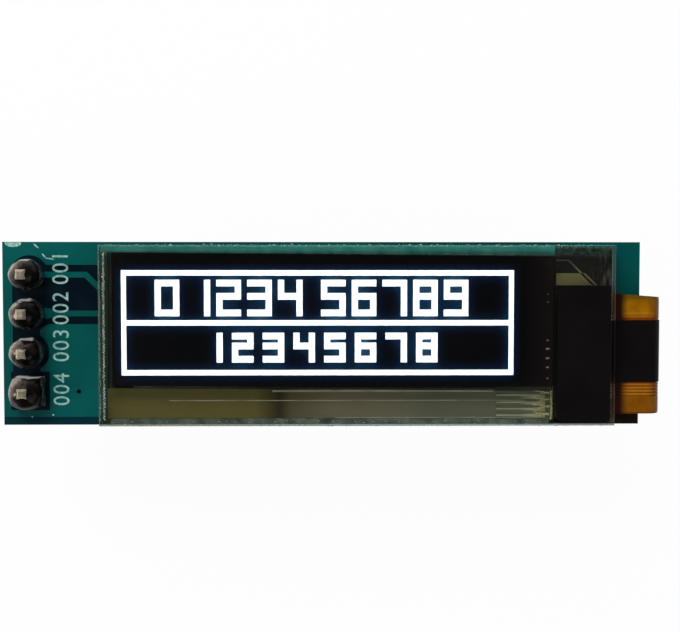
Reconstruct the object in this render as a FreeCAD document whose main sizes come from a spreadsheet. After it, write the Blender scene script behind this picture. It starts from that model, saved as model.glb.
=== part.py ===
import FreeCAD, Part
import os
import re
import Sketcher

# A small display module: a glass panel on a circuit board, its folded flex cable and a row of pins.
# X runs along the board from the pin row, Y across it and Z out of the display. The origin is the
# middle of the pin row on the face that the header's spacer stands on. All sizes are in millimetres.

PIN_COUNT = 4
SQUARE_PAD = 4
CONTACT_COUNT = 14
FINE_CONDUCTORS = 4
LEAD_LINES = 4

# The picture is counted in dots: its size, the strokes of its frame and of its two lines of figures.
DOT_COLUMNS = 128
DOT_ROWS = 32
STROKE_DOTS = 2
MIDDLE_BAR_ROW = 15
UPPER_LINE = {"text": "01234 56789", "column": 11, "row": 3, "columns": 8, "rows": 11, "gap": 2}
LOWER_LINE = {"text": "12345678", "column": 26, "row": 19, "columns": 7, "rows": 9, "gap": 3}

SIZES = {
    "board_length": 41.8,
    "board_width": 12.0,
    "board_thickness": 1.0,
    "row_to_end": 1.75,
    "row_offset": 0.05,
    "copper_thickness": 0.04,
    "pour_margin": 0.03,
    "pour_front_margin": 0.52,
    "pour_clearance": 0.3,
    "trace_width": 0.38,
    "trace_drop": 1.0,
    "trace_bend_to_glass": 1.2,
    "trace_window_high": 0.64,
    "trace_window_low": 0.7,
    "trace_window_start": 1.25,
    "pad_diameter": 1.93,
    "pad_thickness": 0.05,
    "pin_hole": 1.02,
    "plating": 0.03,
    "via_hole": 0.3,
    "via_ring": 0.12,
    "via_from_row": 3.16,
    "via_below_row": 3.86,
    "pin_pitch": 2.54,
    "pin_width": 0.64,
    "pin_tail": 6.0,
    "pin_head": 2.0,
    "pin_point": 0.16,
    "spacer_height": 2.54,
    "spacer_width": 2.48,
    "spacer_corner": 0.5,
    "mound_height": 1.1,
    "mound_neck": 1.0,
    "glass_from_row": 4.8,
    "glass_end_margin": 2.0,
    "glass_high_margin": 0.25,
    "glass_low_margin": 0.1,
    "glass_thickness": 0.7,
    "glass_arris": 0.06,
    "ledge_length": 3.78,
    "rear_glass_thickness": 0.5,
    "recess_depth": 0.25,
    "recess_margin": 1.4,
    "drying_thickness": 0.15,
    "drying_margin": 0.65,
    "seal_thickness": 0.04,
    "seal_width": 0.88,
    "lead_thickness": 0.02,
    "tape_thickness": 0.15,
    "tape_margin": 1.3,
    "film_to_ledge": 0.32,
    "film_border": 0.81,
    "film_thickness": 0.18,
    "film_end_margin": 0.66,
    "film_side_margin": 0.57,
    "film_turn": -0.45,
    "picture_end_margin": 1.3,
    "picture_to_ledge": 2.64,
    "picture_high_margin": 1.58,
    "picture_low_margin": 3.19,
    "stack_margin": 0.27,
    "lead_margin": 0.42,
    "lead_to_ledge": 0.57,
    "lead_pitch": 0.39,
    "lead_line": 0.18,
    "lead_line_length": 2.42,
    "lead_contact": 0.33,
    "lead_contact_length": 0.83,
    "patch_length": 2.7,
    "patch_width": 0.78,
    "patch_slope": 0.8,
    "patch_drop": 1.8,
    "guard_line": 0.08,
    "guard_length": 0.76,
    "guard_drop": 0.92,
    "guard_run": 1.65,
    "shield_thickness": 0.08,
    "shield_end_margin": 0.31,
    "shield_low_margin": 0.34,
    "shield_high_margin": 2.6,
    "chip_length": 7.9,
    "chip_width": 1.0,
    "chip_thickness": 0.3,
    "chip_from_seal": 0.77,
    "flex_width": 7.95,
    "flex_thickness": 0.12,
    "flex_taper": 0.34,
    "flex_offset": -1.25,
    "flex_overhang": 1.3,
    "flex_bond": 1.2,
    "flex_tail": 4.6,
    "cover_width": 4.05,
    "cover_thickness": 0.06,
    "cover_offset": -1.13,
    "cover_tail": 1.76,
    "glass_to_cover": 0.04,
    "conductor_thickness": 0.02,
    "conductor_gap": 0.11,
    "conductor_tail": 1.1,
    "fine_conductor": 0.11,
    "fine_pitch": 0.21,
    "contact_pitch": 0.55,
    "contact_width": 0.33,
    "contact_length": 1.76,
    "contact_joint_length": 0.66,
    "contact_joint_height": 0.2,
    "chip_part_length": 1.6,
    "chip_part_width": 0.8,
    "chip_end_length": 0.3,
    "chip_end_wrap": 0.02,
    "capacitor_height": 0.8,
    "resistor_height": 0.45,
    "land_margin": 0.18,
    "regulator_length": 2.9,
    "regulator_width": 1.3,
    "regulator_height": 1.0,
    "regulator_edge": 0.12,
    "regulator_stand": 0.08,
    "regulator_lead": 0.42,
    "regulator_lead_shoulder": 0.2,
    "regulator_lead_reach": 0.6,
    "regulator_lead_thickness": 0.13,
    "regulator_lead_pitch": 0.95,
    "regulator_from_row": 6.0,
    "near_parts_from_row": 6.0,
    "middle_parts_from_row": 12.5,
    "far_parts_to_tail": 4.2,
    "parts_edge_margin": 2.0,
    "parts_pitch": 1.9,
}

# Places worked out from the sizes, written as rules that FreeCAD keeps bound to the sheet.
PLACES = {
    "board_start": "0 - row_to_end",
    "board_end": "board_length - row_to_end",
    "board_low_side": "0 - row_offset - board_width / 2",
    "board_high_side": "board_width / 2 - row_offset",
    "board_back": "spacer_height + pad_thickness",
    "board_front": "board_back + board_thickness",
    "glass_end": "board_end - glass_end_margin",
    "glass_length": "glass_end - glass_from_row",
    "glass_width": "board_width - glass_high_margin - glass_low_margin",
    "glass_low_side": "board_low_side + glass_low_margin",
    "glass_high_side": "board_high_side - glass_high_margin",
    "rear_glass_end": "glass_end - ledge_length",
    "rear_glass_length": "glass_length - ledge_length",
    "tape_back": "board_front + copper_thickness",
    "rear_glass_back": "tape_back + tape_thickness",
    "seal_back": "rear_glass_back + rear_glass_thickness",
    "lead_back": "seal_back + seal_thickness",
    "glass_back": "lead_back + lead_thickness",
    "glass_front": "glass_back + glass_thickness",
    "picture_start": "glass_from_row + picture_end_margin",
    "picture_length": "rear_glass_length - picture_end_margin - picture_to_ledge",
    "picture_high_side": "glass_high_side - picture_high_margin",
    "picture_low_side": "glass_low_side + picture_low_margin",
    "picture_width": "picture_high_side - picture_low_side",
    "dot_length": f"picture_length / {DOT_COLUMNS}",
    "dot_width": f"picture_width / {DOT_ROWS}",
    "film_start": "glass_from_row + film_end_margin",
    "film_length": "rear_glass_length - film_end_margin - film_to_ledge",
    "film_high_side": "glass_high_side - film_side_margin",
    "film_low_side": "picture_low_side - film_border",
    "film_width": "film_high_side - film_low_side",
    "pad_radius": "pad_diameter / 2",
    "first_pin": "pin_pitch * 1.5",
    "trace_end": "glass_from_row + 2",
    "lead_low_side": "glass_low_side + lead_margin",
    "lead_strip_width": "film_low_side - lead_low_side",
    "lead_start": "glass_from_row + lead_margin",
    "lead_contact_end": "rear_glass_end - lead_to_ledge",
    "lead_line_end": "lead_contact_end - lead_contact_length",
    "lead_strip_end": "lead_line_end - lead_line_length",
    "land_back": "board_back - pad_thickness",
    "shield_length": "ledge_length - shield_end_margin",
    "shield_width": "glass_width - shield_low_margin - shield_high_margin",
    "far_parts_from_row": "tail_end - far_parts_to_tail",
    "outer_parts_offset": "board_width / 2 - parts_edge_margin",
    "flex_top": "glass_back",
    "flex_bottom": "land_back",
    "flex_middle": "flex_offset - row_offset",
    "flex_low_side": "flex_middle - flex_width / 2",
    "flex_high_side": "flex_middle + flex_width / 2",
    "cover_middle": "cover_offset - row_offset",
    "cover_low_side": "cover_middle - cover_width / 2",
    "cover_high_side": "cover_middle + cover_width / 2",
    "fine_low_side": f"cover_low_side - {FINE_CONDUCTORS} * fine_pitch",
    "fold_height": "(flex_top + flex_bottom - flex_thickness) / 2",
    "fold_centre": "board_end + flex_overhang - fold_radius",
    "fold_radius": "(flex_top - flex_bottom + flex_thickness) / 2",
    "flex_start": "glass_end - flex_bond",
    "tail_end": "board_end - flex_tail",
}

doc = FreeCAD.newDocument("display_module")
sheet = doc.addObject("Spreadsheet::Sheet", "Sizes")


def fill_sheet():
    for line, (name, value) in enumerate(SIZES.items(), start=1):
        sheet.set(f"A{line}", name)
        sheet.set(f"B{line}", str(value))
        sheet.setAlias(f"B{line}", name)
    doc.recompute()


def rule(text):
    """The rule as FreeCAD reads it, with places written out and sizes read from the sheet."""
    def name_to_cell(match):
        name = match.group(0)
        if name in PLACES:
            return f"({rule(PLACES[name])})"
        return f"Sizes.{name}"
    return re.sub(r"[a-z]\w*", name_to_cell, str(text))


def bind(thing, **rules):
    for name, text in rules.items():
        thing.setExpression(name, rule(text))
    return thing


def place(thing, x=0, y=0, z=0):
    for axis, text in (("x", x), ("y", y), ("z", z)):
        thing.setExpression(f"Placement.Base.{axis}", rule(text))
    return thing


def box(name, x, y, z, length, width, height):
    """A block from its lowest corner."""
    block = doc.addObject("Part::Box", name)
    bind(block, Length=length, Width=width, Height=height)
    return place(block, x, y, z)


def round_bar(name, x, y, z, radius, height):
    bar = doc.addObject("Part::Cylinder", name)
    bind(bar, Radius=radius, Height=height)
    return place(bar, x, y, z)


def cut(name, base, tool):
    result = doc.addObject("Part::Cut", name)
    result.Base = base
    result.Tool = tool
    return result


def fuse(name, shapes):
    result = doc.addObject("Part::MultiFuse", name)
    result.Shapes = shapes
    return result


def group(name, links):
    result = doc.addObject("Part::Compound", name)
    result.Links = links
    return result


def new_body(name):
    return doc.addObject("PartDesign::Body", name)


def new_sketch(body, name, plane):
    sketch = body.newObject("Sketcher::SketchObject", name)
    origin_plane = next(f for f in body.Origin.OriginFeatures if f.Role == plane)
    sketch.AttachmentSupport = (origin_plane, [""])
    sketch.MapMode = "FlatFace"
    return sketch


def pin_point(sketch, line, end, x, y):
    """Holds one end of a line at a place that the sheet gives."""
    now = sketch.getPoint(line, end)
    for kind, start, text in (("DistanceX", now.x, x), ("DistanceY", now.y, y)):
        number = sketch.addConstraint(Sketcher.Constraint(kind, -1, 1, line, end, start))
        sketch.setExpression(f"Constraints[{number}]", rule(text))


def outline(body, name, plane, corners):
    """A closed outline of straight lines through corners that are rules."""
    sketch = new_sketch(body, name, plane)
    count = len(corners)
    start = [FreeCAD.Vector(i, (i * i) % 7, 0) for i in range(count)]
    for i in range(count):
        sketch.addGeometry(Part.LineSegment(start[i], start[(i + 1) % count]), False)
    for i in range(count):
        sketch.addConstraint(Sketcher.Constraint("Coincident", i, 2, (i + 1) % count, 1))
    for i, (x, y) in enumerate(corners):
        pin_point(sketch, i, 1, x, y)
    return sketch


def rectangle(x_low, y_low, x_high, y_high):
    return [(x_low, y_low), (x_high, y_low), (x_high, y_high), (x_low, y_high)]


def pad(body, sketch, height, middle=False):
    feature = body.newObject("PartDesign::Pad", f"{sketch.Name}_pad")
    feature.Profile = sketch
    feature.Midplane = middle
    bind(feature, Length=height)
    sketch.Visibility = False
    return feature


def pocket(body, sketch, depth, reverse=False):
    feature = body.newObject("PartDesign::Pocket", f"{sketch.Name}_pocket")
    feature.Profile = sketch
    feature.Reversed = reverse
    bind(feature, Length=depth)
    sketch.Visibility = False
    return feature


def slab(name, corners, z, height):
    """A flat piece of even thickness, padded up from z."""
    body = new_body(name)
    pad(body, outline(body, f"{name}_outline", "XY_Plane", corners), height)
    return place(body, z=z)


def row_pattern(body, feature, axis, pitch, count):
    """Repeats a feature along a line of its own body."""
    pattern = body.newObject("PartDesign::LinearPattern", f"{feature.Name}_row")
    pattern.Originals = [feature]
    line = next(f for f in body.Origin.OriginFeatures if f.Role == axis)
    pattern.Direction = (line, [""])
    pattern.Mode = "Spacing"
    pattern.Occurrences = count
    bind(pattern, Offset=pitch)
    body.Tip = pattern
    return pattern


def circles(body, name, plane, spots, radius):
    """Equal circles about spots that are rules."""
    sketch = new_sketch(body, name, plane)
    for i, (x, y) in enumerate(spots):
        ring = Part.Circle(FreeCAD.Vector(i, 0, 0), FreeCAD.Vector(0, 0, 1), 0.4)
        sketch.addGeometry(ring, False)
        pin_point(sketch, i, 3, x, y)
        size = sketch.addConstraint(Sketcher.Constraint("Radius", i, 0.4))
        sketch.setExpression(f"Constraints[{size}]", rule(radius))
    return sketch


def chamfer_flats(body, feature, size):
    """Breaks the edges of the feature's two faces that look along Z."""
    doc.recompute()
    flats = [f"Face{i}" for i, face in enumerate(feature.Shape.Faces, start=1)
             if abs(face.normalAt(0, 0).z) > 0.99]
    edges = body.newObject("PartDesign::Chamfer", f"{body.Name}_edges")
    edges.Base = (feature, flats)
    bind(edges, Size=size)
    return edges


def pin_side_place(number):
    """How far pin 1, 2, 3 or 4 stands along the row."""
    return f"first_pin - {number - 1} * pin_pitch"


# Circuit board and its copper

def circuit_board():
    body = new_body("circuit_board")
    edge = rectangle("board_start", "board_low_side", "board_end", "board_high_side")
    pad(body, outline(body, "board_outline", "XY_Plane", edge), "board_thickness")
    spots = [("0", pin_side_place(number)) for number in range(1, PIN_COUNT + 1)]
    holes = circles(body, "pin_holes", "XY_Plane", spots, "pin_hole / 2 + plating")
    pocket(body, holes, "board_thickness", reverse=True)
    via = circles(body, "via_hole_outline", "XY_Plane", [("via_from_row", "0 - via_below_row")],
                  "via_hole / 2 + plating")
    pocket(body, via, "board_thickness", reverse=True)
    return place(body, z="board_back")


def plated_hole(name, x, y, bore, ring, square=False):
    """A lined hole: a ring of metal on each face and the barrel between them."""
    rings = []
    for side, z in (("back", "land_back"), ("front", "board_front")):
        if square:
            ring_piece = box(f"{name}_{side}", f"{x} - {ring}", f"{y} - {ring}", z,
                             f"2 * {ring}", f"2 * {ring}", "pad_thickness")
        else:
            ring_piece = round_bar(f"{name}_{side}", x, y, z, ring, "pad_thickness")
        rings.append(ring_piece)
    through = "board_thickness + 2 * pad_thickness"
    barrel = round_bar(f"{name}_barrel", x, y, "land_back", f"{bore} / 2 + plating", through)
    bore_piece = round_bar(f"{name}_bore", x, y, "land_back", f"{bore} / 2", through)
    return cut(name, fuse(f"{name}_metal", rings + [barrel]), bore_piece)


def pin_lining(number):
    return plated_hole(f"plated_hole_{number}", "0", f"({pin_side_place(number)})", "pin_hole",
                       "pad_radius", square=number == SQUARE_PAD)


def ground_via():
    return plated_hole("ground_via", "via_from_row", "(0 - via_below_row)", "via_hole",
                       "(via_hole / 2 + via_ring)")


def front_pour():
    """The wide copper area, cleared round the pins, the via and the two signal lines."""
    sheet_piece = box("front_pour_sheet", "board_start + pour_margin",
                      "board_low_side + pour_front_margin", "board_front",
                      "board_length - 2 * pour_margin",
                      "board_width - pour_margin - pour_front_margin", "copper_thickness")
    clear = "pad_radius + pour_clearance"
    tools = [round_bar(f"pour_clearance_{n}", "0", pin_side_place(n), "board_front", clear,
                       "copper_thickness") for n in range(1, PIN_COUNT)]
    tools.append(box("pour_clearance_square", "0 - pad_radius - pour_clearance",
                     f"{pin_side_place(SQUARE_PAD)} - pad_radius - pour_clearance",
                     "board_front", f"2 * ({clear})", f"2 * ({clear})", "copper_thickness"))
    tools.append(box("pour_clearance_row", "0 - pad_radius - pour_clearance / 2",
                     "0 - first_pin", "board_front", "2 * pad_radius - pour_clearance / 2",
                     "2 * first_pin", "copper_thickness"))
    tools.append(round_bar("pour_clearance_via", "via_from_row", "0 - via_below_row",
                           "board_front", "via_hole / 2 + via_ring", "copper_thickness"))
    high = "first_pin + trace_window_high"
    low = "first_pin - pin_pitch - trace_window_low"
    window = [("0", low), ("pad_radius - pour_clearance", f"{low} - pour_clearance"),
              ("trace_window_start", low),
              ("trace_end", low), ("trace_end", high), ("0", high)]
    tools.append(slab("trace_window", window, "board_front", "copper_thickness"))
    return cut("front_pour", sheet_piece, fuse("pour_clearances", tools))


def signal_lines():
    """The lines of the first two pins, up to where the glass hides them."""
    high, low = "(first_pin + trace_width / 2)", "(first_pin - trace_width / 2)"
    bend = "(glass_from_row - trace_bend_to_glass)"
    corner = f"({bend} + 0.4 * trace_width)"
    first = slab("signal_line_1", [
        ("pad_radius", low), (bend, low), (f"{bend} + trace_drop", f"{low} - trace_drop"),
        ("trace_end", f"{low} - trace_drop"), ("trace_end", f"{high} - trace_drop"),
        (f"{corner} + trace_drop", f"{high} - trace_drop"), (corner, high), ("pad_radius", high)],
        "board_front", "copper_thickness")
    middle = "(first_pin - pin_pitch)"
    second = slab("signal_line_2", [
        ("pad_radius", f"{middle} - trace_width"), ("2 * pad_radius", f"{middle} - trace_width / 2"),
        ("trace_end", f"{middle} - trace_width / 2"), ("trace_end", f"{middle} + trace_width / 2"),
        ("2 * pad_radius", f"{middle} + trace_width / 2"), ("pad_radius", f"{middle} + trace_width")],
        "board_front", "copper_thickness")
    return [first, second]


def front_copper():
    return group("front_copper", [front_pour()] + signal_lines())


# Row of pins

def header_pin(number):
    body = new_body(f"header_pin_{number}")
    half = "pin_width / 2"
    square = rectangle(f"0 - {half}", f"0 - {half}", half, half)
    shaft = pad(body, outline(body, f"pin_{number}_outline", "XY_Plane", square),
                "pin_tail + board_front + pin_head")
    chamfer_flats(body, shaft, "pin_point")
    return place(body, "0", pin_side_place(number), "0 - pin_tail")


def header_spacer():
    """One eight-sided unit and its square hole, repeated along the row."""
    body = new_body("header_spacer")
    side = "spacer_width / 2"
    end = "pin_pitch / 2"
    unit = [(f"0 - {side}", f"spacer_corner - {end}"), (f"spacer_corner - {side}", f"0 - {end}"),
            (f"{side} - spacer_corner", f"0 - {end}"), (side, f"spacer_corner - {end}"),
            (side, f"{end} - spacer_corner"), (f"{side} - spacer_corner", end),
            (f"spacer_corner - {side}", end), (f"0 - {side}", f"{end} - spacer_corner")]
    block = pad(body, outline(body, "spacer_unit", "XY_Plane", unit), "spacer_height")
    row_pattern(body, block, "Y_Axis", "pin_pitch", PIN_COUNT)
    half = "pin_width / 2"
    square = rectangle(f"0 - {half}", f"0 - {half}", half, half)
    hole = pocket(body, outline(body, "spacer_hole", "XY_Plane", square), "spacer_height",
                  reverse=True)
    row_pattern(body, hole, "Y_Axis", "pin_pitch", PIN_COUNT)
    return place(body, "0", "0 - first_pin", "0")


def solder_joint(number):
    """Solder that fills the lined hole round its pin and rises to a rounded mound."""
    body = new_body(f"solder_joint_{number}")
    sketch = new_sketch(body, f"mound_{number}", "XZ_Plane")
    corners = [("0", "0 - board_thickness - 2 * pad_thickness"),
               ("pin_hole / 2", "0 - board_thickness - 2 * pad_thickness"),
               ("pin_hole / 2", "0"), ("pad_radius * 0.98", "0"),
               ("mound_neck / 2", "mound_height"), ("0", "mound_height")]
    near = [FreeCAD.Vector(*spot, 0) for spot in
            ((0, -1.1), (0.5, -1.1), (0.5, 0), (0.86, 0), (0.49, 1.1), (0, 1.1))]
    for i in (0, 1, 2):
        sketch.addGeometry(Part.LineSegment(near[i], near[i + 1]), False)
    sketch.addGeometry(Part.LineSegment(near[4], near[5]), False)
    sketch.addGeometry(Part.LineSegment(near[5], near[0]), False)
    bulge = Part.Arc(near[3], FreeCAD.Vector(0.78, 0.62, 0), near[4])
    sketch.addGeometry(bulge, False)
    for line, end, other, start in ((0, 2, 1, 1), (1, 2, 2, 1), (3, 2, 4, 1), (4, 2, 0, 1),
                                    (2, 2, 5, 1), (5, 2, 3, 1)):
        sketch.addConstraint(Sketcher.Constraint("Coincident", line, end, other, start))
    for line, corner in ((0, 0), (1, 1), (2, 2), (3, 4), (4, 5)):
        pin_point(sketch, line, 1, *corners[corner])
    pin_point(sketch, 2, 2, *corners[3])
    size = sketch.addConstraint(Sketcher.Constraint("Radius", 5, 1.15))
    sketch.setExpression(f"Constraints[{size}]", rule("mound_height * 1.05"))
    turned = body.newObject("PartDesign::Revolution", f"mound_{number}_turned")
    turned.Profile = sketch
    turned.ReferenceAxis = (sketch, ["V_Axis"])
    turned.Angle = 360
    half = "pin_width / 2"
    square = rectangle(f"0 - {half}", f"0 - {half}", half, half)
    hole = outline(body, f"mound_{number}_hole", "XY_Plane", square)
    pin_cut = pocket(body, hole, "4 * (board_thickness + mound_height)")
    pin_cut.Midplane = True
    return place(body, "0", pin_side_place(number), "board_front + pad_thickness")


# Glass panel

def glass_plate():
    body = new_body("display_glass")
    edge = rectangle("glass_from_row", "glass_low_side", "glass_end", "glass_high_side")
    plate = pad(body, outline(body, "glass_outline", "XY_Plane", edge), "glass_thickness")
    chamfer_flats(body, plate, "glass_arris")
    return place(body, z="glass_back")


def rear_glass():
    """The closing glass, with a shallow recess that faces the light-emitting layers."""
    body = new_body("rear_glass")
    edge = rectangle("glass_from_row", "glass_low_side", "rear_glass_end", "glass_high_side")
    pad(body, outline(body, "rear_glass_outline", "XY_Plane", edge), "rear_glass_thickness")
    inner = rectangle("glass_from_row + recess_margin", "glass_low_side + recess_margin",
                      "rear_glass_end - recess_margin", "glass_high_side - recess_margin")
    recess = outline(body, "recess_outline", "XY_Plane", inner)
    recess.setExpression("AttachmentOffset.Base.z", rule("rear_glass_thickness"))
    pocket(body, recess, "recess_depth")
    return place(body, z="rear_glass_back")


def drying_sheet():
    inset = "(recess_margin + drying_margin)"
    return box("drying_sheet", f"glass_from_row + {inset}", f"glass_low_side + {inset}",
               "seal_back - recess_depth", f"rear_glass_length - 2 * {inset}",
               f"glass_width - 2 * {inset}", "drying_thickness")


def mounting_tape():
    return box("mounting_tape", "glass_from_row + tape_margin", "glass_low_side + tape_margin",
               "tape_back", "rear_glass_length - 2 * tape_margin",
               "glass_width - 2 * tape_margin", "tape_thickness")


def seal_frame():
    outer = box("seal_outside", "glass_from_row", "glass_low_side", "seal_back",
                "rear_glass_length", "glass_width", "seal_thickness")
    inner = box("seal_inside", "glass_from_row + seal_width", "glass_low_side + seal_width",
                "seal_back", "rear_glass_length - 2 * seal_width",
                "glass_width - 2 * seal_width", "seal_thickness")
    return cut("seal_frame", outer, inner)


def oled_stack():
    return box("oled_stack", "picture_start - stack_margin",
               "picture_low_side - stack_margin", "seal_back",
               "picture_length + 2 * stack_margin", "picture_width + 2 * stack_margin",
               "seal_thickness")


def dot_block(name, column, row, columns, rows):
    """A block of dots, counted from the picture's upper start corner."""
    return box(name, f"picture_start + {column} * dot_length",
               f"picture_high_side - {row + rows} * dot_width", "lead_back",
               f"{columns} * dot_length", f"{rows} * dot_width", "lead_thickness")


def lit_frame():
    """The lit border and the bar across its middle."""
    whole = dot_block("lit_whole", 0, 0, DOT_COLUMNS, DOT_ROWS)
    inner = DOT_COLUMNS - 2 * STROKE_DOTS
    below = MIDDLE_BAR_ROW + STROKE_DOTS
    upper = dot_block("dark_upper", STROKE_DOTS, STROKE_DOTS, inner, MIDDLE_BAR_ROW - STROKE_DOTS)
    lower = dot_block("dark_lower", STROKE_DOTS, below, inner, DOT_ROWS - STROKE_DOTS - below)
    return cut("lit_frame", whole, fuse("dark_windows", [upper, lower]))


# Bars of a figure: a top, b upper right, c lower right, d foot, e lower left, f upper left, g middle
BARS = {"0": "abcdef", "1": "bc", "2": "abged", "3": "abgcd", "4": "fgbc", "5": "afgcd",
        "6": "afgedc", "7": "abc", "8": "abcdefg", "9": "abcdfg"}


def lit_figure(name, figure, column, row, columns, rows):
    """One figure, made of up to seven bars of dots."""
    right = column + columns - STROKE_DOTS
    middle = row + (rows - STROKE_DOTS) // 2
    foot = row + rows - STROKE_DOTS
    upper = middle + STROKE_DOTS - row
    lower = row + rows - middle
    bars = {"a": (column, row, columns, STROKE_DOTS), "g": (column, middle, columns, STROKE_DOTS),
            "d": (column, foot, columns, STROKE_DOTS), "f": (column, row, STROKE_DOTS, upper),
            "b": (right, row, STROKE_DOTS, upper), "e": (column, middle, STROKE_DOTS, lower),
            "c": (right, middle, STROKE_DOTS, lower)}
    whole = fuse(name, [dot_block(f"{name}_{bar}", *bars[bar]) for bar in BARS[figure]])
    whole.Refine = True
    return whole


def figure_line(name, line):
    """The figures of one line of the picture, left to right."""
    figures = []
    column = line["column"]
    for i, figure in enumerate(line["text"]):
        if figure in BARS:
            figures.append(lit_figure(f"{name}_{i}", figure, column, line["row"],
                                      line["columns"], line["rows"]))
            column += line["columns"]
        else:
            column += line["gap"]
        column += line["gap"]
    return figures


def lit_figures():
    return group("lit_figures", figure_line("upper", UPPER_LINE) + figure_line("lower", LOWER_LINE))


def glass_leads():
    """Metal on the back of the front glass: the strip, its lines and the corner patch."""
    pieces = [box("lead_strip", "lead_start", "lead_low_side", "lead_back",
                  "lead_strip_end - lead_start", "lead_strip_width", "lead_thickness")]
    for i in range(LEAD_LINES):
        middle = f"(lead_low_side + lead_contact / 2 + {i} * lead_pitch)"
        low, high = f"{middle} - lead_line / 2", f"{middle} + lead_line / 2"
        corners = [("lead_strip_end", low), ("lead_line_end", low),
                   ("lead_contact_end", f"{middle} - lead_contact / 2"),
                   ("lead_contact_end", f"{middle} + lead_contact / 2"),
                   ("lead_line_end", high), ("lead_strip_end", high)]
        pieces.append(slab(f"lead_line_{i + 1}", corners, "lead_back", "lead_thickness"))
    start = "rear_glass_end + lead_line / 2"
    high = "glass_high_side - patch_drop"
    pieces.append(slab("corner_patch", [
        (start, f"{high} - patch_width"), (f"{start} + patch_length", f"{high} - patch_width"),
        (f"{start} + patch_length - patch_slope", high), (start, high)],
        "lead_back", "lead_thickness"))
    line = "glass_high_side - guard_drop"
    bend = f"{start} + guard_length"
    pieces.append(slab("guard_line_piece", [
        (start, f"{line} - guard_line"), (bend, f"{line} - guard_line"),
        (f"{bend} + guard_run", f"{line} - guard_line - guard_run"),
        (f"{bend} + guard_run + guard_line", f"{line} - guard_run"), (f"{bend} + guard_line", line),
        (start, line)], "lead_back", "lead_thickness"))
    return group("glass_leads", pieces)


def polarizer_film():
    """A film laid on the glass by hand, so it lies a little out of square."""
    body = new_body("polarizer_film")
    edge = rectangle("0 - film_length / 2", "0 - film_width / 2", "film_length / 2", "film_width / 2")
    pad(body, outline(body, "film_outline", "XY_Plane", edge), "film_thickness")
    place(body, "film_start + film_length / 2", "film_low_side + film_width / 2", "glass_front")
    body.setExpression("Placement.Rotation.Angle", rule("film_turn"))
    return body


def light_shield():
    return box("light_shield", "rear_glass_end", "glass_low_side + shield_low_margin",
               "glass_front", "shield_length", "shield_width", "shield_thickness")


def driver_chip():
    return box("driver_chip", "rear_glass_end + chip_from_seal", "flex_middle - chip_length / 2",
               "glass_back - chip_thickness", "chip_width", "chip_length", "chip_thickness")


# Flex cable

def folded_strip(name, width, offset, start, tail, below="0", thickness="flex_thickness"):
    """A strip folded round the board's end: a run, a half turn about one shared centre, and a
    run back. It lies outside the cable's own outer face by as much as below says."""
    body = new_body(name)
    sketch = new_sketch(body, f"{name}_fold", "XZ_Plane")
    outside = f"(fold_radius + {below})"
    inside = f"({outside} - {thickness})"
    high, low = f"fold_height + {outside}", f"fold_height - {outside}"
    inner_high, inner_low = f"fold_height + {inside}", f"fold_height - {inside}"
    turn = "fold_centre"
    runs = [(start, high, turn, high), (turn, low, tail, low),
            (tail, inner_low, turn, inner_low), (turn, inner_high, start, inner_high)]
    first = [((0, 1), (3, 1)), ((3, -1), (1, -1)), ((1, -0.9), (3, -0.9)), ((3, 0.9), (0, 0.9))]
    first += [(first[1][1], first[2][0]), (first[3][1], first[0][0])]
    for a, b in first:
        sketch.addGeometry(Part.LineSegment(FreeCAD.Vector(*a, 0), FreeCAD.Vector(*b, 0)), False)
    for radius in (1.0, 0.9):
        circle = Part.Circle(FreeCAD.Vector(3, 0, 0), FreeCAD.Vector(0, 0, 1), radius)
        sketch.addGeometry(Part.ArcOfCircle(circle, -1.5707963, 1.5707963), False)
    for i, (x1, z1, x2, z2) in enumerate(runs):
        pin_point(sketch, i, 1, x1, z1)
        pin_point(sketch, i, 2, x2, z2)
    joins = ((4, 1, 1, 2), (4, 2, 2, 1), (5, 1, 3, 2), (5, 2, 0, 1),
             (6, 2, 0, 2), (6, 1, 1, 1), (7, 1, 2, 2), (7, 2, 3, 1))
    for line, end, other, start_end in joins:
        sketch.addConstraint(Sketcher.Constraint("Coincident", line, end, other, start_end))
    for arc in (6, 7):
        number = sketch.addConstraint(Sketcher.Constraint("DistanceX", -1, 1, arc, 3, 3.0))
        sketch.setExpression(f"Constraints[{number}]", rule(turn))
    pad(body, sketch, width, middle=True)
    return place(body, y=offset)


def flex_cable():
    """The folded film, narrowed a little towards the fold on its upper side."""
    strip = folded_strip("flex_strip", "flex_width", "flex_middle", "flex_start", "tail_end")
    tip = "board_end + flex_overhang + flex_thickness"
    plan = [("tail_end", "flex_low_side"), (tip, "flex_low_side"),
            (tip, "flex_high_side - flex_taper"), ("flex_start", "flex_high_side"),
            ("tail_end", "flex_high_side")]
    trim = slab("flex_trim", plan, "0", "glass_front")
    result = doc.addObject("Part::Common", "flex_cable")
    result.Base = strip
    result.Tool = trim
    return result


def flex_cover():
    return folded_strip("flex_cover", "cover_width", "cover_middle", "glass_end + glass_to_cover",
                        "board_end - cover_tail", "cover_thickness", "cover_thickness")


def conductor(number, low, high):
    """A line of the cable, from one side place to another, on the cable's outer face."""
    return folded_strip(f"conductor_{number}", f"{high} - ({low})", f"({high} + {low}) / 2",
                        "glass_end + glass_to_cover", "tail_end + conductor_tail",
                        "conductor_thickness", "conductor_thickness")


def flex_conductors():
    """Fine lines below the cover and a wide one on each side of them."""
    pieces = [conductor("low", "flex_low_side + conductor_gap", "fine_low_side - conductor_gap"),
              conductor("high", "cover_high_side + conductor_gap",
                        "flex_high_side - flex_taper - conductor_gap")]
    for i in range(FINE_CONDUCTORS):
        low = f"fine_low_side + {i} * fine_pitch"
        pieces.append(conductor(i + 1, low, f"{low} + fine_conductor"))
    return group("flex_conductors", pieces)


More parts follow.
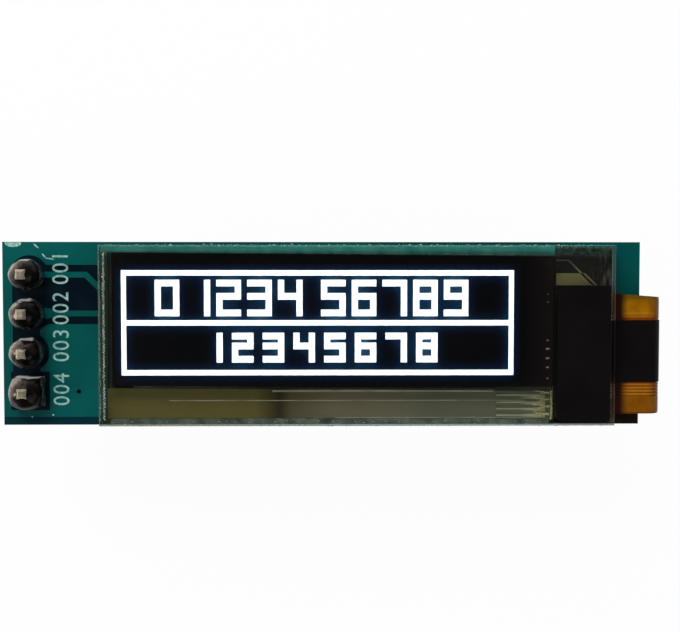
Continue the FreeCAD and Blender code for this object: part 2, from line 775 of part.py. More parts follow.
def flex_solder():
    """A row of sloping joints that tie the cable's tail to its lands."""
    body = new_body("flex_solder")
    low = "land_back - contact_joint_height"
    corners = [("tail_end - contact_joint_length", "land_back"),
               ("tail_end - contact_joint_length", "land_back - pad_thickness"),
               ("tail_end - contact_joint_length / 3", low), ("tail_end", low),
               ("tail_end", "land_back")]
    joint = pad(body, outline(body, "joint_outline", "XZ_Plane", corners), "contact_width",
                middle=True)
    row_pattern(body, joint, "Y_Axis", "contact_pitch", CONTACT_COUNT)
    return place(body, y=f"flex_middle - contact_pitch * {CONTACT_COUNT - 1} / 2")


# Parts on the back of the board

def part_spots():
    """Where each small part sits: its distance from the pin row and its side place."""
    far = "far_parts_from_row"
    return {
        "capacitor_1": ("near_parts_from_row", "outer_parts_offset"),
        "capacitor_2": ("near_parts_from_row", "0 - outer_parts_offset"),
        "capacitor_3": (far, "outer_parts_offset"),
        "capacitor_4": (far, "outer_parts_offset - parts_pitch"),
        "resistor_1": ("middle_parts_from_row", "outer_parts_offset"),
        "resistor_2": ("middle_parts_from_row", "outer_parts_offset - parts_pitch"),
        "resistor_3": (far, "parts_pitch - outer_parts_offset"),
        "resistor_4": (far, "0 - outer_parts_offset"),
    }


def part_height(name):
    return name.split("_")[0] + "_height"


def chip_part_body(name):
    """The ceramic between the two metal ends."""
    x, y = part_spots()[name]
    return box(name, f"{x} - chip_part_length / 2 + chip_end_length",
               f"{y} - chip_part_width / 2 + chip_end_wrap",
               f"land_back - {part_height(name)} + chip_end_wrap",
               "chip_part_length - 2 * chip_end_length", "chip_part_width - 2 * chip_end_wrap",
               f"{part_height(name)} - 2 * chip_end_wrap")


def chip_part_ends(name):
    x, y = part_spots()[name]
    starts = (f"{x} - chip_part_length / 2", f"{x} + chip_part_length / 2 - chip_end_length")
    ends = [box(f"{name}_end_{i}", start, f"{y} - chip_part_width / 2",
                f"land_back - {part_height(name)}", "chip_end_length", "chip_part_width",
                part_height(name)) for i, start in enumerate(starts, start=1)]
    return group(f"{name}_ends", ends)


def regulator_body():
    body = new_body("regulator_body")
    edge = rectangle("0 - regulator_width / 2", "0 - regulator_length / 2",
                     "regulator_width / 2", "regulator_length / 2")
    block = pad(body, outline(body, "regulator_outline", "XY_Plane", edge), "regulator_height")
    chamfer_flats(body, block, "regulator_edge")
    return place(body, "regulator_from_row", "0",
                 "land_back - regulator_stand - regulator_height")


def regulator_lead(number, sign, offset):
    """A lead that leaves the case at half its height and bends to the board and outwards."""
    body = new_body(f"regulator_lead_{number}")
    inner = "regulator_width / 2"
    bend = f"{inner} + regulator_lead_shoulder"
    toe = f"{inner} + regulator_lead_reach"
    high = "land_back - regulator_stand - regulator_height / 2"
    low = f"{high} - regulator_lead_thickness"
    foot = "land_back - regulator_lead_thickness"
    thick = "regulator_lead_thickness"
    corners = [(inner, high), (bend, high), (bend, "land_back"), (toe, "land_back"), (toe, foot),
               (f"{bend} + {thick}", foot), (f"{bend} + {thick}", low), (inner, low)]
    corners = [(f"{sign} * ({x})", z) for x, z in corners]
    pad(body, outline(body, f"lead_{number}_outline", "XZ_Plane", corners), "regulator_lead",
        middle=True)
    return place(body, "regulator_from_row", offset)


LEADS = ((1, "1", "regulator_lead_pitch"), (2, "1", "0 - regulator_lead_pitch"), (3, "(0 - 1)", "0"))


def regulator_leads():
    return group("regulator_leads", [regulator_lead(*lead) for lead in LEADS])


def land(name, x, y, length, width):
    """A bare metal area on the back of the board, about its middle."""
    return box(name, f"{x} - ({length}) / 2", f"{y} - ({width}) / 2", "land_back", length, width,
               "pad_thickness")


def back_lands():
    lands = []
    for name, (x, y) in part_spots().items():
        for i, side in enumerate(("0 - 1", "1"), start=1):
            middle = f"{x} + ({side}) * (chip_part_length - chip_end_length) / 2"
            lands.append(land(f"{name}_land_{i}", middle, y, "chip_end_length + 2 * land_margin",
                              "chip_part_width + land_margin"))
    for number, sign, offset in LEADS:
        middle = f"regulator_from_row + {sign} * (regulator_width / 2 + regulator_lead_reach)"
        lands.append(land(f"regulator_land_{number}", middle, offset,
                          "regulator_lead_reach + land_margin", "regulator_lead + land_margin"))
    for i in range(CONTACT_COUNT):
        lands.append(land(f"contact_land_{i + 1}", "tail_end",
                          f"flex_middle + ({i} - {CONTACT_COUNT - 1} / 2) * contact_pitch",
                          "contact_length", "contact_width"))
    return group("back_lands", lands)


def back_copper():
    """The wide copper area of the back, between the pins and the cable, cleared round the parts."""
    thick = "copper_thickness"
    low = "board_back - copper_thickness"
    start = "spacer_width / 2 + pour_clearance"
    end = "tail_end - contact_length / 2 - pour_clearance"
    plate = box("back_pour_sheet", start, "board_low_side + pour_margin", low,
                f"{end} - ({start})", "board_width - 2 * pour_margin", thick)
    reach = "(chip_part_length / 2 + land_margin + pour_clearance)"
    side = "(outer_parts_offset + chip_part_width / 2 + pour_clearance)"
    regulator_reach = "(regulator_width / 2 + 2 * regulator_lead_reach)"
    tools = [box("back_clear_regulator", f"regulator_from_row - {regulator_reach}", f"0 - {side}",
                 low, f"2 * {regulator_reach}", f"2 * {side}", thick),
             box("back_clear_middle", f"middle_parts_from_row - {reach}",
                 "outer_parts_offset - parts_pitch - chip_part_width", low, f"2 * {reach}",
                 "parts_pitch + 2 * chip_part_width", thick),
             box("back_clear_far", f"far_parts_from_row - {reach}", f"0 - {side}", low,
                 f"2 * {reach}", f"2 * {side}", thick),
             round_bar("back_clear_via", "via_from_row", "0 - via_below_row", low,
                       "via_hole / 2 + via_ring", thick)]
    return cut("back_copper", plate, fuse("back_clearances", tools))


def build():
    fill_sheet()
    pieces = [circuit_board(), front_copper(), back_copper(), back_lands(), ground_via(),
              header_spacer()]
    for number in range(1, PIN_COUNT + 1):
        pieces += [pin_lining(number), header_pin(number), solder_joint(number)]
    pieces += [mounting_tape(), rear_glass(), drying_sheet(), seal_frame(), oled_stack(),
               glass_leads(), lit_frame(), lit_figures(), glass_plate(), polarizer_film(),
               light_shield(), driver_chip()]
    pieces += [flex_cable(), flex_cover(), flex_conductors(), flex_solder()]
    for name in part_spots():
        pieces += [chip_part_body(name), chip_part_ends(name)]
    pieces += [regulator_body(), regulator_leads()]
    doc.recompute()
    return pieces


def check(pieces):
    for thing in doc.Objects:
        if "Invalid" in thing.State or "Error" in thing.State:
            raise ValueError(f"{thing.Name} failed: {thing.State}")
    for piece in pieces:
        if piece.Shape.isNull() or not piece.Shape.isValid():
            raise ValueError(f"{piece.Label} has no valid shape")


def write(pieces):
    os.makedirs("parts", exist_ok=True)
    for piece in pieces:
        piece.Shape.exportStep(f"parts/{piece.Label}.step")
        solids = len(piece.Shape.Solids)
        print(f"{piece.Label}: {solids} solid(s), {piece.Shape.Volume:.4f} mm3")


made = build()
check(made)
write(made)
print(f"{len(made)} pieces written")
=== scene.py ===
import math
import random
import bpy
import numpy as np
from mathutils import Matrix, Vector
from mathutils.bvhtree import BVHTree


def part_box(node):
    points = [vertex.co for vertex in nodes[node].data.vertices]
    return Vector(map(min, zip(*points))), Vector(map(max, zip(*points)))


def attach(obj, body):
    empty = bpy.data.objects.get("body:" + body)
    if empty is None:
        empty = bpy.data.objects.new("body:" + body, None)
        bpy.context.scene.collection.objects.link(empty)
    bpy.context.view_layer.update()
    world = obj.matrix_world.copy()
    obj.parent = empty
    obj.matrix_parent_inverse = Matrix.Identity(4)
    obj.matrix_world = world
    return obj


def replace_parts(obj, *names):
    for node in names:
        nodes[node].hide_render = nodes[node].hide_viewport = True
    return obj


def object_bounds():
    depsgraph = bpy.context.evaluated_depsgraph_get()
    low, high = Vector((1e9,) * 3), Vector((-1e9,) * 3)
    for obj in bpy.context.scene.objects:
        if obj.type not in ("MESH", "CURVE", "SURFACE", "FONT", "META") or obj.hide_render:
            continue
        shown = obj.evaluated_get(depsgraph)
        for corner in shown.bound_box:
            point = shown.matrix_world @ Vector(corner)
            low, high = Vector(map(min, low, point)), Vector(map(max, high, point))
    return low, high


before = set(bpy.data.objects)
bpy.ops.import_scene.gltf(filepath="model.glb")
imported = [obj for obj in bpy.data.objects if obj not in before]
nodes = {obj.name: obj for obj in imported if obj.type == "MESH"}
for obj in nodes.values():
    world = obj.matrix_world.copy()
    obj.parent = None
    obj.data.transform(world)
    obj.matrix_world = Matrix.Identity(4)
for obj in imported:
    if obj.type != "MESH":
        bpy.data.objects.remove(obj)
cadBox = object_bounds()
mm = 0.001

# Places that the pieces share, read from the frame
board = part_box("circuit_board")
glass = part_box("display_glass")
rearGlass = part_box("rear_glass")
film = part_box("polarizer_film")
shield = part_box("light_shield")
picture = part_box("lit_frame")
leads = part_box("glass_leads")
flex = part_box("flex_cable")
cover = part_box("flex_cover")
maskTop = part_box("front_copper")[1].z
pictureSize = picture[1] - picture[0]
dotSize = Vector((pictureSize.x / 128, pictureSize.y / 32, 0))  # 128 by 32 dots


# Small helpers

def shade(red, green, blue):
    # a colour as a screen shows it, from 0 to 255, made linear
    def linear(value):
        value = value / 255
        return value / 12.92 if value <= 0.04045 else ((value + 0.055) / 1.055) ** 2.4
    return (linear(red), linear(green), linear(blue), 1.0)


def grey(value):
    return (value, value, value, 1.0)


def deselectAll():
    bpy.ops.object.select_all(action="DESELECT")


def choose(piece):
    deselectAll()
    piece.select_set(True)
    bpy.context.view_layer.objects.active = piece


def create(operator, **settings):
    # runs one of Blender's add operators and gives back what it made
    deselectAll()
    operator(**settings)
    return bpy.context.object


def editAll():
    bpy.ops.object.mode_set(mode="EDIT")
    bpy.ops.mesh.select_all(action="SELECT")


def faceOutward():
    # ends the edit with every face turned outward
    bpy.ops.mesh.select_all(action="SELECT")
    bpy.ops.mesh.normals_make_consistent(inside=False)
    bpy.ops.object.mode_set(mode="OBJECT")


def settlePlace():
    bpy.ops.object.transform_apply(location=True, rotation=True, scale=True)


def applyAll(piece):
    choose(piece)
    for modifier in list(piece.modifiers):
        bpy.ops.object.modifier_apply(modifier=modifier.name)


def joinAll(pieces):
    choose(pieces[0])
    for piece in pieces[1:]:
        piece.select_set(True)
    bpy.ops.object.join()
    return bpy.context.object


def copyOf(piece):
    twin = piece.copy()
    twin.data = piece.data.copy()
    bpy.context.collection.objects.link(twin)
    return twin


def finishPiece(piece, name, material, smooth=None):
    # puts the piece's place in its mesh, names it and hangs it on the frame
    choose(piece)
    settlePlace()
    if smooth is not None:
        bpy.ops.object.shade_smooth_by_angle(angle=math.radians(smooth))
    piece.name = name
    piece.data.name = name
    piece.data.materials.clear()
    piece.data.materials.append(material)
    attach(piece, "root")
    return piece


def cube(middle, size):
    return create(bpy.ops.mesh.primitive_cube_add, size=1, location=middle, scale=size)


def plate(x0, x1, y0, y1, base, thick):
    # a flat box with its sides in millimetres and its base in metres
    return cube(((x0 + x1) / 2 * mm, (y0 + y1) / 2 * mm, base + thick / 2 * mm),
                ((x1 - x0) * mm, (y1 - y0) * mm, thick * mm))


def addNode(tree, kind, inputs=None, **settings):
    made = tree.nodes.new("ShaderNode" + kind)
    for key, value in settings.items():
        setattr(made, key, value)
    for key, value in (inputs or {}).items():
        if isinstance(value, bpy.types.NodeSocket):
            tree.links.new(value, made.inputs[key])
        else:
            made.inputs[key].default_value = value
    return made.outputs


def startMaterial(name):
    material = bpy.data.materials.new(name)
    material.use_nodes = True
    material.node_tree.nodes.clear()
    return material, material.node_tree


def closeMaterial(material, shader):
    addNode(material.node_tree, "OutputMaterial", {"Surface": shader})
    return material


def principled(tree, **inputs):
    names = {"colour": "Base Color", "specular": "Specular IOR Level"}
    inputs = {names.get(key, key.replace("_", " ").title()): value
              for key, value in inputs.items()}
    return addNode(tree, "BsdfPrincipled", inputs)["BSDF"]


def coat(material, **inputs):
    # ends a material with one surface
    return closeMaterial(material, principled(material.node_tree, **inputs))


def emission(tree, colour, strength):
    return addNode(tree, "Emission", {"Color": colour, "Strength": strength})["Emission"]


def seeThrough(tree, colour):
    return addNode(tree, "BsdfTransparent", {"Color": colour})["BSDF"]


def mixShaders(tree, factor, first, second):
    return addNode(tree, "MixShader", {"Fac": factor, 1: first, 2: second})["Shader"]


def sums(tree, how, first, second=0.0, clamp=False):
    return addNode(tree, "Math", {0: first, 1: second}, operation=how, use_clamp=clamp)["Value"]


def times(tree, first, second):
    return sums(tree, "MULTIPLY", first, second)


def fade(tree, value, low, high):
    # 0 at low and 1 at high
    return addNode(tree, "MapRange", {"Value": value, "From Min": low,
                   "From Max": high})["Result"]


def between(tree, value, low, high):
    # low where the value is 0 and high where it is 1
    return addNode(tree, "MapRange", {"Value": value, "To Min": low, "To Max": high})["Result"]


def axes(tree, source="Object"):
    # the place on the part, or another vector, as its X, Y and Z
    vector = addNode(tree, "TexCoord")[source]
    return addNode(tree, "SeparateXYZ", {"Vector": vector})


def along(tree, axis, low, high):
    # 0 at low and 1 at high along one axis of the part
    return fade(tree, axes(tree)[axis], low, high)


def beside(tree, axis, edge, low, high):
    # the same, its ends so many millimetres past an edge
    return along(tree, axis, edge + low * mm, edge + high * mm)


def band(tree, axis, low, high, soft):
    # 1 between low and high along one axis, fading over soft millimetres on each side
    return times(tree, beside(tree, axis, low, -soft, soft), beside(tree, axis, high, soft, -soft))


def facing(tree):
    # how far the surface looks up or down the part, from 0 to 1
    return sums(tree, "ABSOLUTE", axes(tree, "Normal")["Z"])


def objectPlace(tree, stretch=(1, 1, 1), shift=(0, 0, 0)):
    place = addNode(tree, "TexCoord")["Object"]
    return addNode(tree, "Mapping", {"Vector": place, "Location": shift,
                   "Scale": stretch})["Vector"]


def noise(tree, perMillimetre, detail=3.0, stretch=(1, 1, 1), roughness=0.5, shift=(0, 0, 0)):
    place = objectPlace(tree, stretch, shift)
    return addNode(tree, "TexNoise", {"Vector": place, "Scale": perMillimetre / mm,
                   "Detail": detail, "Roughness": roughness})["Fac"]


def bump(tree, height, depth, strength=1.0):
    return addNode(tree, "Bump", {"Height": height, "Distance": depth * mm,
                   "Strength": strength})["Normal"]


def ramp(tree, factor, stops):
    made = addNode(tree, "ValToRGB", {"Fac": factor})
    scale = made["Color"].node.color_ramp  # the node's own scale of colours
    scale.elements.remove(scale.elements[1])
    scale.elements[0].position, scale.elements[0].color = stops[0]
    for spot, colour in stops[1:]:
        scale.elements.new(spot).color = colour
    return made["Color"]


def mottle(tree, pattern, low, high, ends=(0.3, 0.7)):
    # clouds of two colours; the pattern is what noise takes
    return ramp(tree, noise(tree, *pattern), [(ends[0], low), (ends[1], high)])


def blendColours(tree, factor, first, second):
    return addNode(tree, "MixRGB", {"Fac": factor, "Color1": first, "Color2": second})["Color"]


def layered(tree, colour, zones):
    # lays the colour of each zone over those before it
    for place, tone in zones:
        colour = blendColours(tree, place, colour, tone)
    return colour


def dimmed(tree, share, colour):
    return blendColours(tree, 1.0 - share, colour, shade(0, 0, 0))


# Finishes

boardSet = {
    "maskBright": shade(2, 89, 86), "maskDeep": shade(0, 70, 68),
    "maskRough": (0.28, 0.44), "specular": 0.16,
    "face": (shade(3, 15, 26), shade(5, 26, 36)),
    "edge": [(0.1, shade(96, 92, 56)), (0.6, shade(150, 144, 100))],
    "margin": shade(3, 42, 50), "marginAt": (-5.3 * mm, -5.6 * mm),
    "corner": shade(34, 23, 12), "cornerAlong": (37.7 * mm, 38.2 * mm),
    "cornerAcross": (-4.9 * mm, -5.25 * mm)}


def shadedCorner(tree, colour):
    # the brown shadow of the cable on the board's low corner
    near = times(tree, along(tree, "X", *boardSet["cornerAlong"]),
                 along(tree, "Y", *boardSet["cornerAcross"]))
    return blendColours(tree, near, colour, boardSet["corner"])


def maskedCopper():
    material, tree = startMaterial("maskedCopper")
    fine = noise(tree, 9.0, 2.0)
    tone = mottle(tree, (0.16, 3.0), boardSet["maskDeep"], boardSet["maskBright"], (0.35, 0.68))
    tone = blendColours(tree, times(tree, fine, 0.22), tone, boardSet["maskDeep"])
    rough = between(tree, fine, *boardSet["maskRough"])
    normal = bump(tree, noise(tree, 2.2, 2.0), 0.012, 0.35)
    return coat(material, colour=shadedCorner(tree, tone), roughness=rough, normal=normal,
                specular=boardSet["specular"])


def laminate():
    # masked on its two faces and bare glass fibre round its edges
    material, tree = startMaterial("boardLaminate")
    weave = addNode(tree, "TexWave", {"Vector": objectPlace(tree), "Scale": 1.1 / mm,
                    "Distortion": 0.8}, bands_direction="Z")["Fac"]
    weave = times(tree, weave, noise(tree, 3.0, 4.0, (1, 1, 6)))
    face = mottle(tree, (0.5, 3.0), *boardSet["face"], (0.35, 0.7))
    margin = along(tree, "Y", *boardSet["marginAt"])
    face = shadedCorner(tree, blendColours(tree, margin, face, boardSet["margin"]))
    isFace = sums(tree, "GREATER_THAN", facing(tree), 0.7)
    normal = bump(tree, noise(tree, 3.0, 2.0), 0.01, 0.4)
    colour = blendColours(tree, isFace, ramp(tree, weave, boardSet["edge"]), face)
    return coat(material, colour=colour, normal=normal, specular=boardSet["specular"],
                roughness=between(tree, isFace, 0.8, 0.3))


def metal(name, bright, dull, roughness, patch=3.0, dent=0.02):
    material, tree = startMaterial(name)
    tone = mottle(tree, (patch, 4.0), dull, bright)
    rough = between(tree, noise(tree, patch * 2.3), roughness * 0.6, roughness * 1.5)
    normal = bump(tree, noise(tree, patch * 1.4), dent, 0.6)
    return coat(material, colour=tone, metallic=1.0, roughness=rough, normal=normal)


# tones: painted shade, from the side away from the light to the side towards it; glint and shine:
# the painted highlight
solderSet = {
    "tones": [(0.1, shade(16, 15, 15)), (0.42, shade(46, 42, 39)),
              (0.66, shade(112, 102, 93)), (0.95, shade(186, 176, 164))],
    "flank": shade(132, 127, 121), "glint": shade(214, 218, 215), "shine": 0.62,
    "lean": (-0.62, 0.42), "leanEnds": (-0.6, 0.95), "cloud": 1.3,
    "flankEnds": (0.24, 0.06), "arcEnds": ((0.84, 0.88), (0.97, 0.94), (0.5, 0.36)),
    "rough": (0.16, 0.34)}


def solderMetal():
    # solder with painted shade on the side that faces away from the light, and a painted highlight
    # round its far shoulder
    material, tree = startMaterial("solderMetal")
    split = axes(tree, "Normal")
    # painted shade: the tone follows which way the surface faces, with random clouds
    lean = sums(tree, "ADD", times(tree, split["X"], solderSet["lean"][0]),
                times(tree, split["Y"], solderSet["lean"][1]))
    cloud = times(tree, sums(tree, "SUBTRACT", noise(tree, 2.2), 0.5), solderSet["cloud"])
    paintedShade = fade(tree, sums(tree, "ADD", lean, cloud), *solderSet["leanEnds"])
    # the steep flanks keep a plain grey without the painted shade
    flank = fade(tree, sums(tree, "ABSOLUTE", split["Z"]), *solderSet["flankEnds"])
    inner, outer, aside = solderSet["arcEnds"]
    # painted highlight: a bright arc round the shoulder that faces the light, partly glowing
    highlightArc = times(tree, fade(tree, split["Y"], *inner), fade(tree, split["Y"], *outer))
    highlightArc = times(tree, highlightArc, fade(tree, sums(tree, "ABSOLUTE", split["X"]), *aside))
    tone = layered(tree, ramp(tree, paintedShade, solderSet["tones"]),
                   [(flank, solderSet["flank"]), (highlightArc, solderSet["glint"])])
    rough = between(tree, noise(tree, 3.0), *solderSet["rough"])
    normal = bump(tree, noise(tree, 2.0, 2.0), 0.04, 0.4)
    body = principled(tree, colour=tone, metallic=0.85, roughness=rough, normal=normal)
    shine = emission(tree, solderSet["glint"], solderSet["shine"])
    return closeMaterial(material, mixShaders(tree, times(tree, highlightArc, 0.5), body, shine))


def moulded(name, colour, dust, roughness=0.55, grain=12.0):
    material, tree = startMaterial(name)
    fine = noise(tree, grain)
    rough = between(tree, fine, roughness - 0.1, roughness + 0.15)
    return coat(material, colour=mottle(tree, (0.7, 4.0), colour, dust, (0.3, 0.8)),
                roughness=rough, normal=bump(tree, fine, 0.012, 0.5), specular=0.35)


glassSet = {
    "index": 1.45, "rear": shade(250, 254, 252), "front": shade(252, 255, 253),
    "rearEdge": shade(120, 145, 130), "rearBody": 0.5, "gloss": grey(0.9),
    "scuffs": (0.02, 0.14), "flatFrom": 0.9}


def outerSheen(tree):
    # mirror share of an outer face; from inside the glass a face mirrors nothing
    fresnel = addNode(tree, "Fresnel", {"IOR": glassSet["index"]})["Fac"]
    inside = addNode(tree, "NewGeometry")["Backfacing"]
    return times(tree, fresnel, sums(tree, "SUBTRACT", 1.0, inside))


def flatFace(tree):
    # 1 on the two faces of a glass and 0 round its cut edges
    return sums(tree, "GREATER_THAN", facing(tree), glassSet["flatFrom"])


def closeGlass(material, gloss, edge, clear):
    # clear faces and tinted edges under a smooth coat with faint scuffs
    tree = material.node_tree
    rough = between(tree, noise(tree, 5.0, 4.0, (1, 0.2, 1)), *glassSet["scuffs"])
    coating = addNode(tree, "BsdfGlossy", {"Color": glassSet["gloss"], "Roughness": rough})
    under = mixShaders(tree, flatFace(tree), edge, clear)
    return closeMaterial(material, mixShaders(tree, gloss, under, coating["BSDF"]))


def rearGlassLook():
    # lets light straight through its faces and shows its tint along its cut edges
    material, tree = startMaterial("rearGlass")
    clear = seeThrough(tree, glassSet["rear"])
    body = principled(tree, colour=glassSet["rearEdge"], roughness=0.25, specular=0.6)
    edge = mixShaders(tree, glassSet["rearBody"], clear, body)
    return closeGlass(material, outerSheen(tree), edge, clear)


# edge tones are painted reflections of what lies beside each cut edge; the speckle is random
rimSet = {
    "left": shade(104, 116, 104), "top": shade(62, 140, 130), "right": shade(124, 100, 82),
    "low": shade(100, 106, 98), "corner": shade(92, 116, 110), "cable": shade(10, 8, 9),
    "speckle": shade(22, 26, 22), "speckleShare": 0.6, "body": 0.7, "gloss": 0.25,
    "endLoss": 0.2, "lowFrom": (0.2, 0.4), "topFrom": (-0.2, -0.1),
    "endFrom": (-0.3, -0.1), "cornerFrom": (0.1, 0.4), "cableFrom": (-0.8, -0.7)}


def frontGlassLook():
    # clear faces; each cut edge is painted with the tone of what lies beside it, as a painted
    # reflection
    material, tree = startMaterial("frontGlass")
    ending = beside(tree, "X", glass[1].x, *rimSet["endFrom"])
    cable = times(tree, beside(tree, "X", glass[1].x, *rimSet["cableFrom"]),
                  band(tree, "Y", cover[0].y, cover[1].y, 0.05))
    corner = times(tree, ending, beside(tree, "Y", flex[1].y, *rimSet["cornerFrom"]))
    tone = layered(tree, rimSet["left"], [
        (beside(tree, "X", glass[0].x, *rimSet["lowFrom"]), rimSet["low"]),
        (beside(tree, "Y", glass[1].y, *rimSet["topFrom"]), rimSet["top"]),
        (ending, rimSet["right"]), (corner, rimSet["corner"]), (cable, rimSet["cable"]),
        (times(tree, noise(tree, 7.0), rimSet["speckleShare"]), rimSet["speckle"])])
    body = principled(tree, colour=tone, roughness=0.4, specular=0.2)
    clear = seeThrough(tree, glassSet["front"])
    edge = mixShaders(tree, sums(tree, "MAXIMUM", cable, rimSet["body"]), clear, body)
    gloss = sums(tree, "SUBTRACT", rimSet["gloss"], times(tree, ending, rimSet["endLoss"]))
    gloss = times(tree, outerSheen(tree), sums(tree, "MAXIMUM", flatFace(tree), gloss))
    return closeGlass(material, gloss, edge, clear)


filmSet = {
    "passes": 0.5, "veil": (shade(6, 6, 8), shade(11, 9, 11)), "specular": 0.15,
    "rough": (0.36, 0.48), "end": shade(27, 20, 21), "endFrom": 0.3 * mm,
    "slope": math.tan(math.radians(0.45))}


def polarizerFilm():
    material, tree = startMaterial("polarizerFilm")
    veil = mottle(tree, (0.12, 3.0), *filmSet["veil"], (0.35, 0.7))
    ending = along(tree, "X", picture[1].x + filmSet["endFrom"], film[1].x)
    veil = blendColours(tree, ending, veil, filmSet["end"])
    rough = between(tree, noise(tree, 8.0), *filmSet["rough"])
    body = principled(tree, colour=veil, roughness=rough,
                      normal=bump(tree, noise(tree, 0.9, 2.0), 0.004, 0.4),
                      specular=filmSet["specular"])
    face = sums(tree, "GREATER_THAN", facing(tree), 0.5)
    return closeMaterial(material, mixShaders(tree, times(tree, face, filmSet["passes"]), body,
                                              seeThrough(tree, grey(1.0))))


tapeSet = {
    "tones": (shade(11, 9, 10), shade(18, 15, 16)), "rough": (0.45, 0.65),
    "specular": 0.07}


def blackTape():
    material, tree = startMaterial("blackTape")
    fine = noise(tree, 14.0)
    tone = mottle(tree, (0.35, 4.0), *tapeSet["tones"], (0.3, 0.75))
    return coat(material, colour=tone, roughness=between(tree, fine, *tapeSet["rough"]),
                normal=bump(tree, fine, 0.01, 0.4), specular=tapeSet["specular"])


sealSet = {
    "plain": (shade(88, 96, 84), shade(160, 170, 154)),
    "teal": (shade(76, 190, 180), shade(112, 222, 210)), "cover": 0.6,
    "start": shade(72, 84, 70), "end": shade(30, 27, 22), "under": shade(8, 7, 8),
    "clear": shade(246, 252, 249), "lit": 0.6, "startFrom": (0.1, -0.1),
    "endFrom": (-0.12, -0.02), "upperFrom": (-0.3, 0.15), "inset": (0.08, 0.05, 0.02)}


def filmRow(tree):
    # the place across the film, which lies a little turned on the glass
    split = axes(tree)
    run = sums(tree, "SUBTRACT", split["X"], (film[0].x + film[1].x) / 2)
    return sums(tree, "ADD", split["Y"], times(tree, run, filmSet["slope"]))


def sealResin():
    # greyish resin between the two glasses; its upper side takes the board's colour
    material, tree = startMaterial("sealResin")
    plain = mottle(tree, (1.2, 4.0), *sealSet["plain"])
    teal = mottle(tree, (1.2, 4.0), *sealSet["teal"])
    start = beside(tree, "X", film[0].x, *sealSet["startFrom"])
    end = beside(tree, "X", film[1].x, *sealSet["endFrom"])
    upper = beside(tree, "Y", film[1].y, *sealSet["upperFrom"])
    colour = dimmed(tree, sealSet["lit"], layered(tree, plain, [
        (start, sealSet["start"]), (end, sealSet["end"]), (upper, teal)]))
    left, right, side = (inset * mm for inset in sealSet["inset"])
    half = (film[1].y - film[0].y - (film[1].x - film[0].x) * filmSet["slope"]) / 2 - side
    fromMiddle = sums(tree, "ABSOLUTE", sums(tree, "SUBTRACT", filmRow(tree),
                                             (film[0].y + film[1].y) / 2))
    under = times(tree, sums(tree, "LESS_THAN", fromMiddle, half),
                  band(tree, "X", film[0].x + left, film[1].x - right, 0.02))
    colour = blendColours(tree, under, colour, sealSet["under"])
    body = principled(tree, colour=colour, roughness=0.5, specular=0.3)
    solid = sealSet["cover"]
    for zone in (end, upper, under):
        solid = sums(tree, "MAXIMUM", zone, solid)
    return closeMaterial(material, mixShaders(tree, solid, seeThrough(tree, sealSet["clear"]),
                                              body))


leadSet = {
    "tones": [(0.0, shade(150, 134, 72)), (0.30, shade(152, 136, 74)),
              (0.35, shade(68, 56, 34)), (0.375, shade(136, 122, 92)),
              (0.46, shade(172, 157, 130)), (0.6, shade(164, 154, 128)),
              (0.66, shade(148, 148, 126)), (0.84, shade(156, 156, 132)),
              (0.87, shade(255, 246, 200)), (0.91, shade(180, 170, 117)),
              (0.96, shade(163, 152, 103)), (1.0, shade(150, 140, 96))],
    "streak": shade(104, 100, 74), "streakShare": 0.35, "guard": shade(118, 110, 98),
    "guardFrom": (-1.5, -1.3), "lit": 0.36}


def leadMetal():
    # thin metal behind the glass, whose tone turns from olive to grey-green along the strip
    material, tree = startMaterial("leadMetal")
    tone = ramp(tree, along(tree, "X", leads[0].x, leads[1].x), leadSet["tones"])
    streaks = times(tree, noise(tree, 0.9, 3.0, (0.25, 2.0, 1)), leadSet["streakShare"])
    guard = beside(tree, "Y", glass[1].y, *leadSet["guardFrom"])
    tone = layered(tree, tone, [(streaks, leadSet["streak"]), (guard, leadSet["guard"])])
    tone = dimmed(tree, leadSet["lit"], tone)
    return coat(material, colour=tone, roughness=0.38, specular=0.3,
                normal=bump(tree, noise(tree, 1.4, 2.0), 0.01, 0.3))


litSet = {"bright": shade(246, 253, 255), "soft": shade(234, 247, 255), "power": 2.4, "gap": 0.12}


def litDots():
    # square dots, a little dimmer along the gaps between them
    material, tree = startMaterial("litDots")
    split = axes(tree)
    gaps = []
    for axis, start, size in (("X", picture[0].x, dotSize.x), ("Y", picture[0].y, dotSize.y)):
        count = sums(tree, "DIVIDE", sums(tree, "SUBTRACT", split[axis], start), size)
        gaps.append(sums(tree, "LESS_THAN", sums(tree, "FRACT", count), litSet["gap"]))
    tone = blendColours(tree, sums(tree, "MAXIMUM", *gaps), litSet["bright"], litSet["soft"])
    return closeMaterial(material, emission(tree, tone, litSet["power"] / filmSet["passes"]))


glowSet = {
    "cells": 2, "margin": 0.4 * mm, "near": 1.6, "far": 4.2, "farShare": 0.45,
    "power": 0.68, "drop": 0.002 * mm, "thick": 0.03 * mm,
    "dark": (grey(0.004), grey(0.008)),
    "tones": [(0.0, shade(0, 0, 0)), (0.12, shade(0, 4, 12)), (0.4, shade(4, 24, 52)),
              (0.75, shade(20, 66, 104)), (1.0, shade(80, 130, 165))]}


def glowLayer():
    # the dark layer behind the dots, with the blue light that spreads from them
    material, tree = startMaterial("glowLayer")
    reach = addNode(tree, "Attribute", attribute_name="glow")["Fac"]
    light = emission(tree, ramp(tree, reach, glowSet["tones"]),
                     glowSet["power"] / filmSet["passes"])
    dark = principled(tree, colour=mottle(tree, (0.8,), *glowSet["dark"]), roughness=0.3,
                      specular=0.2)
    both = addNode(tree, "AddShader", {0: light, 1: dark})["Shader"]
    return closeMaterial(material, both)


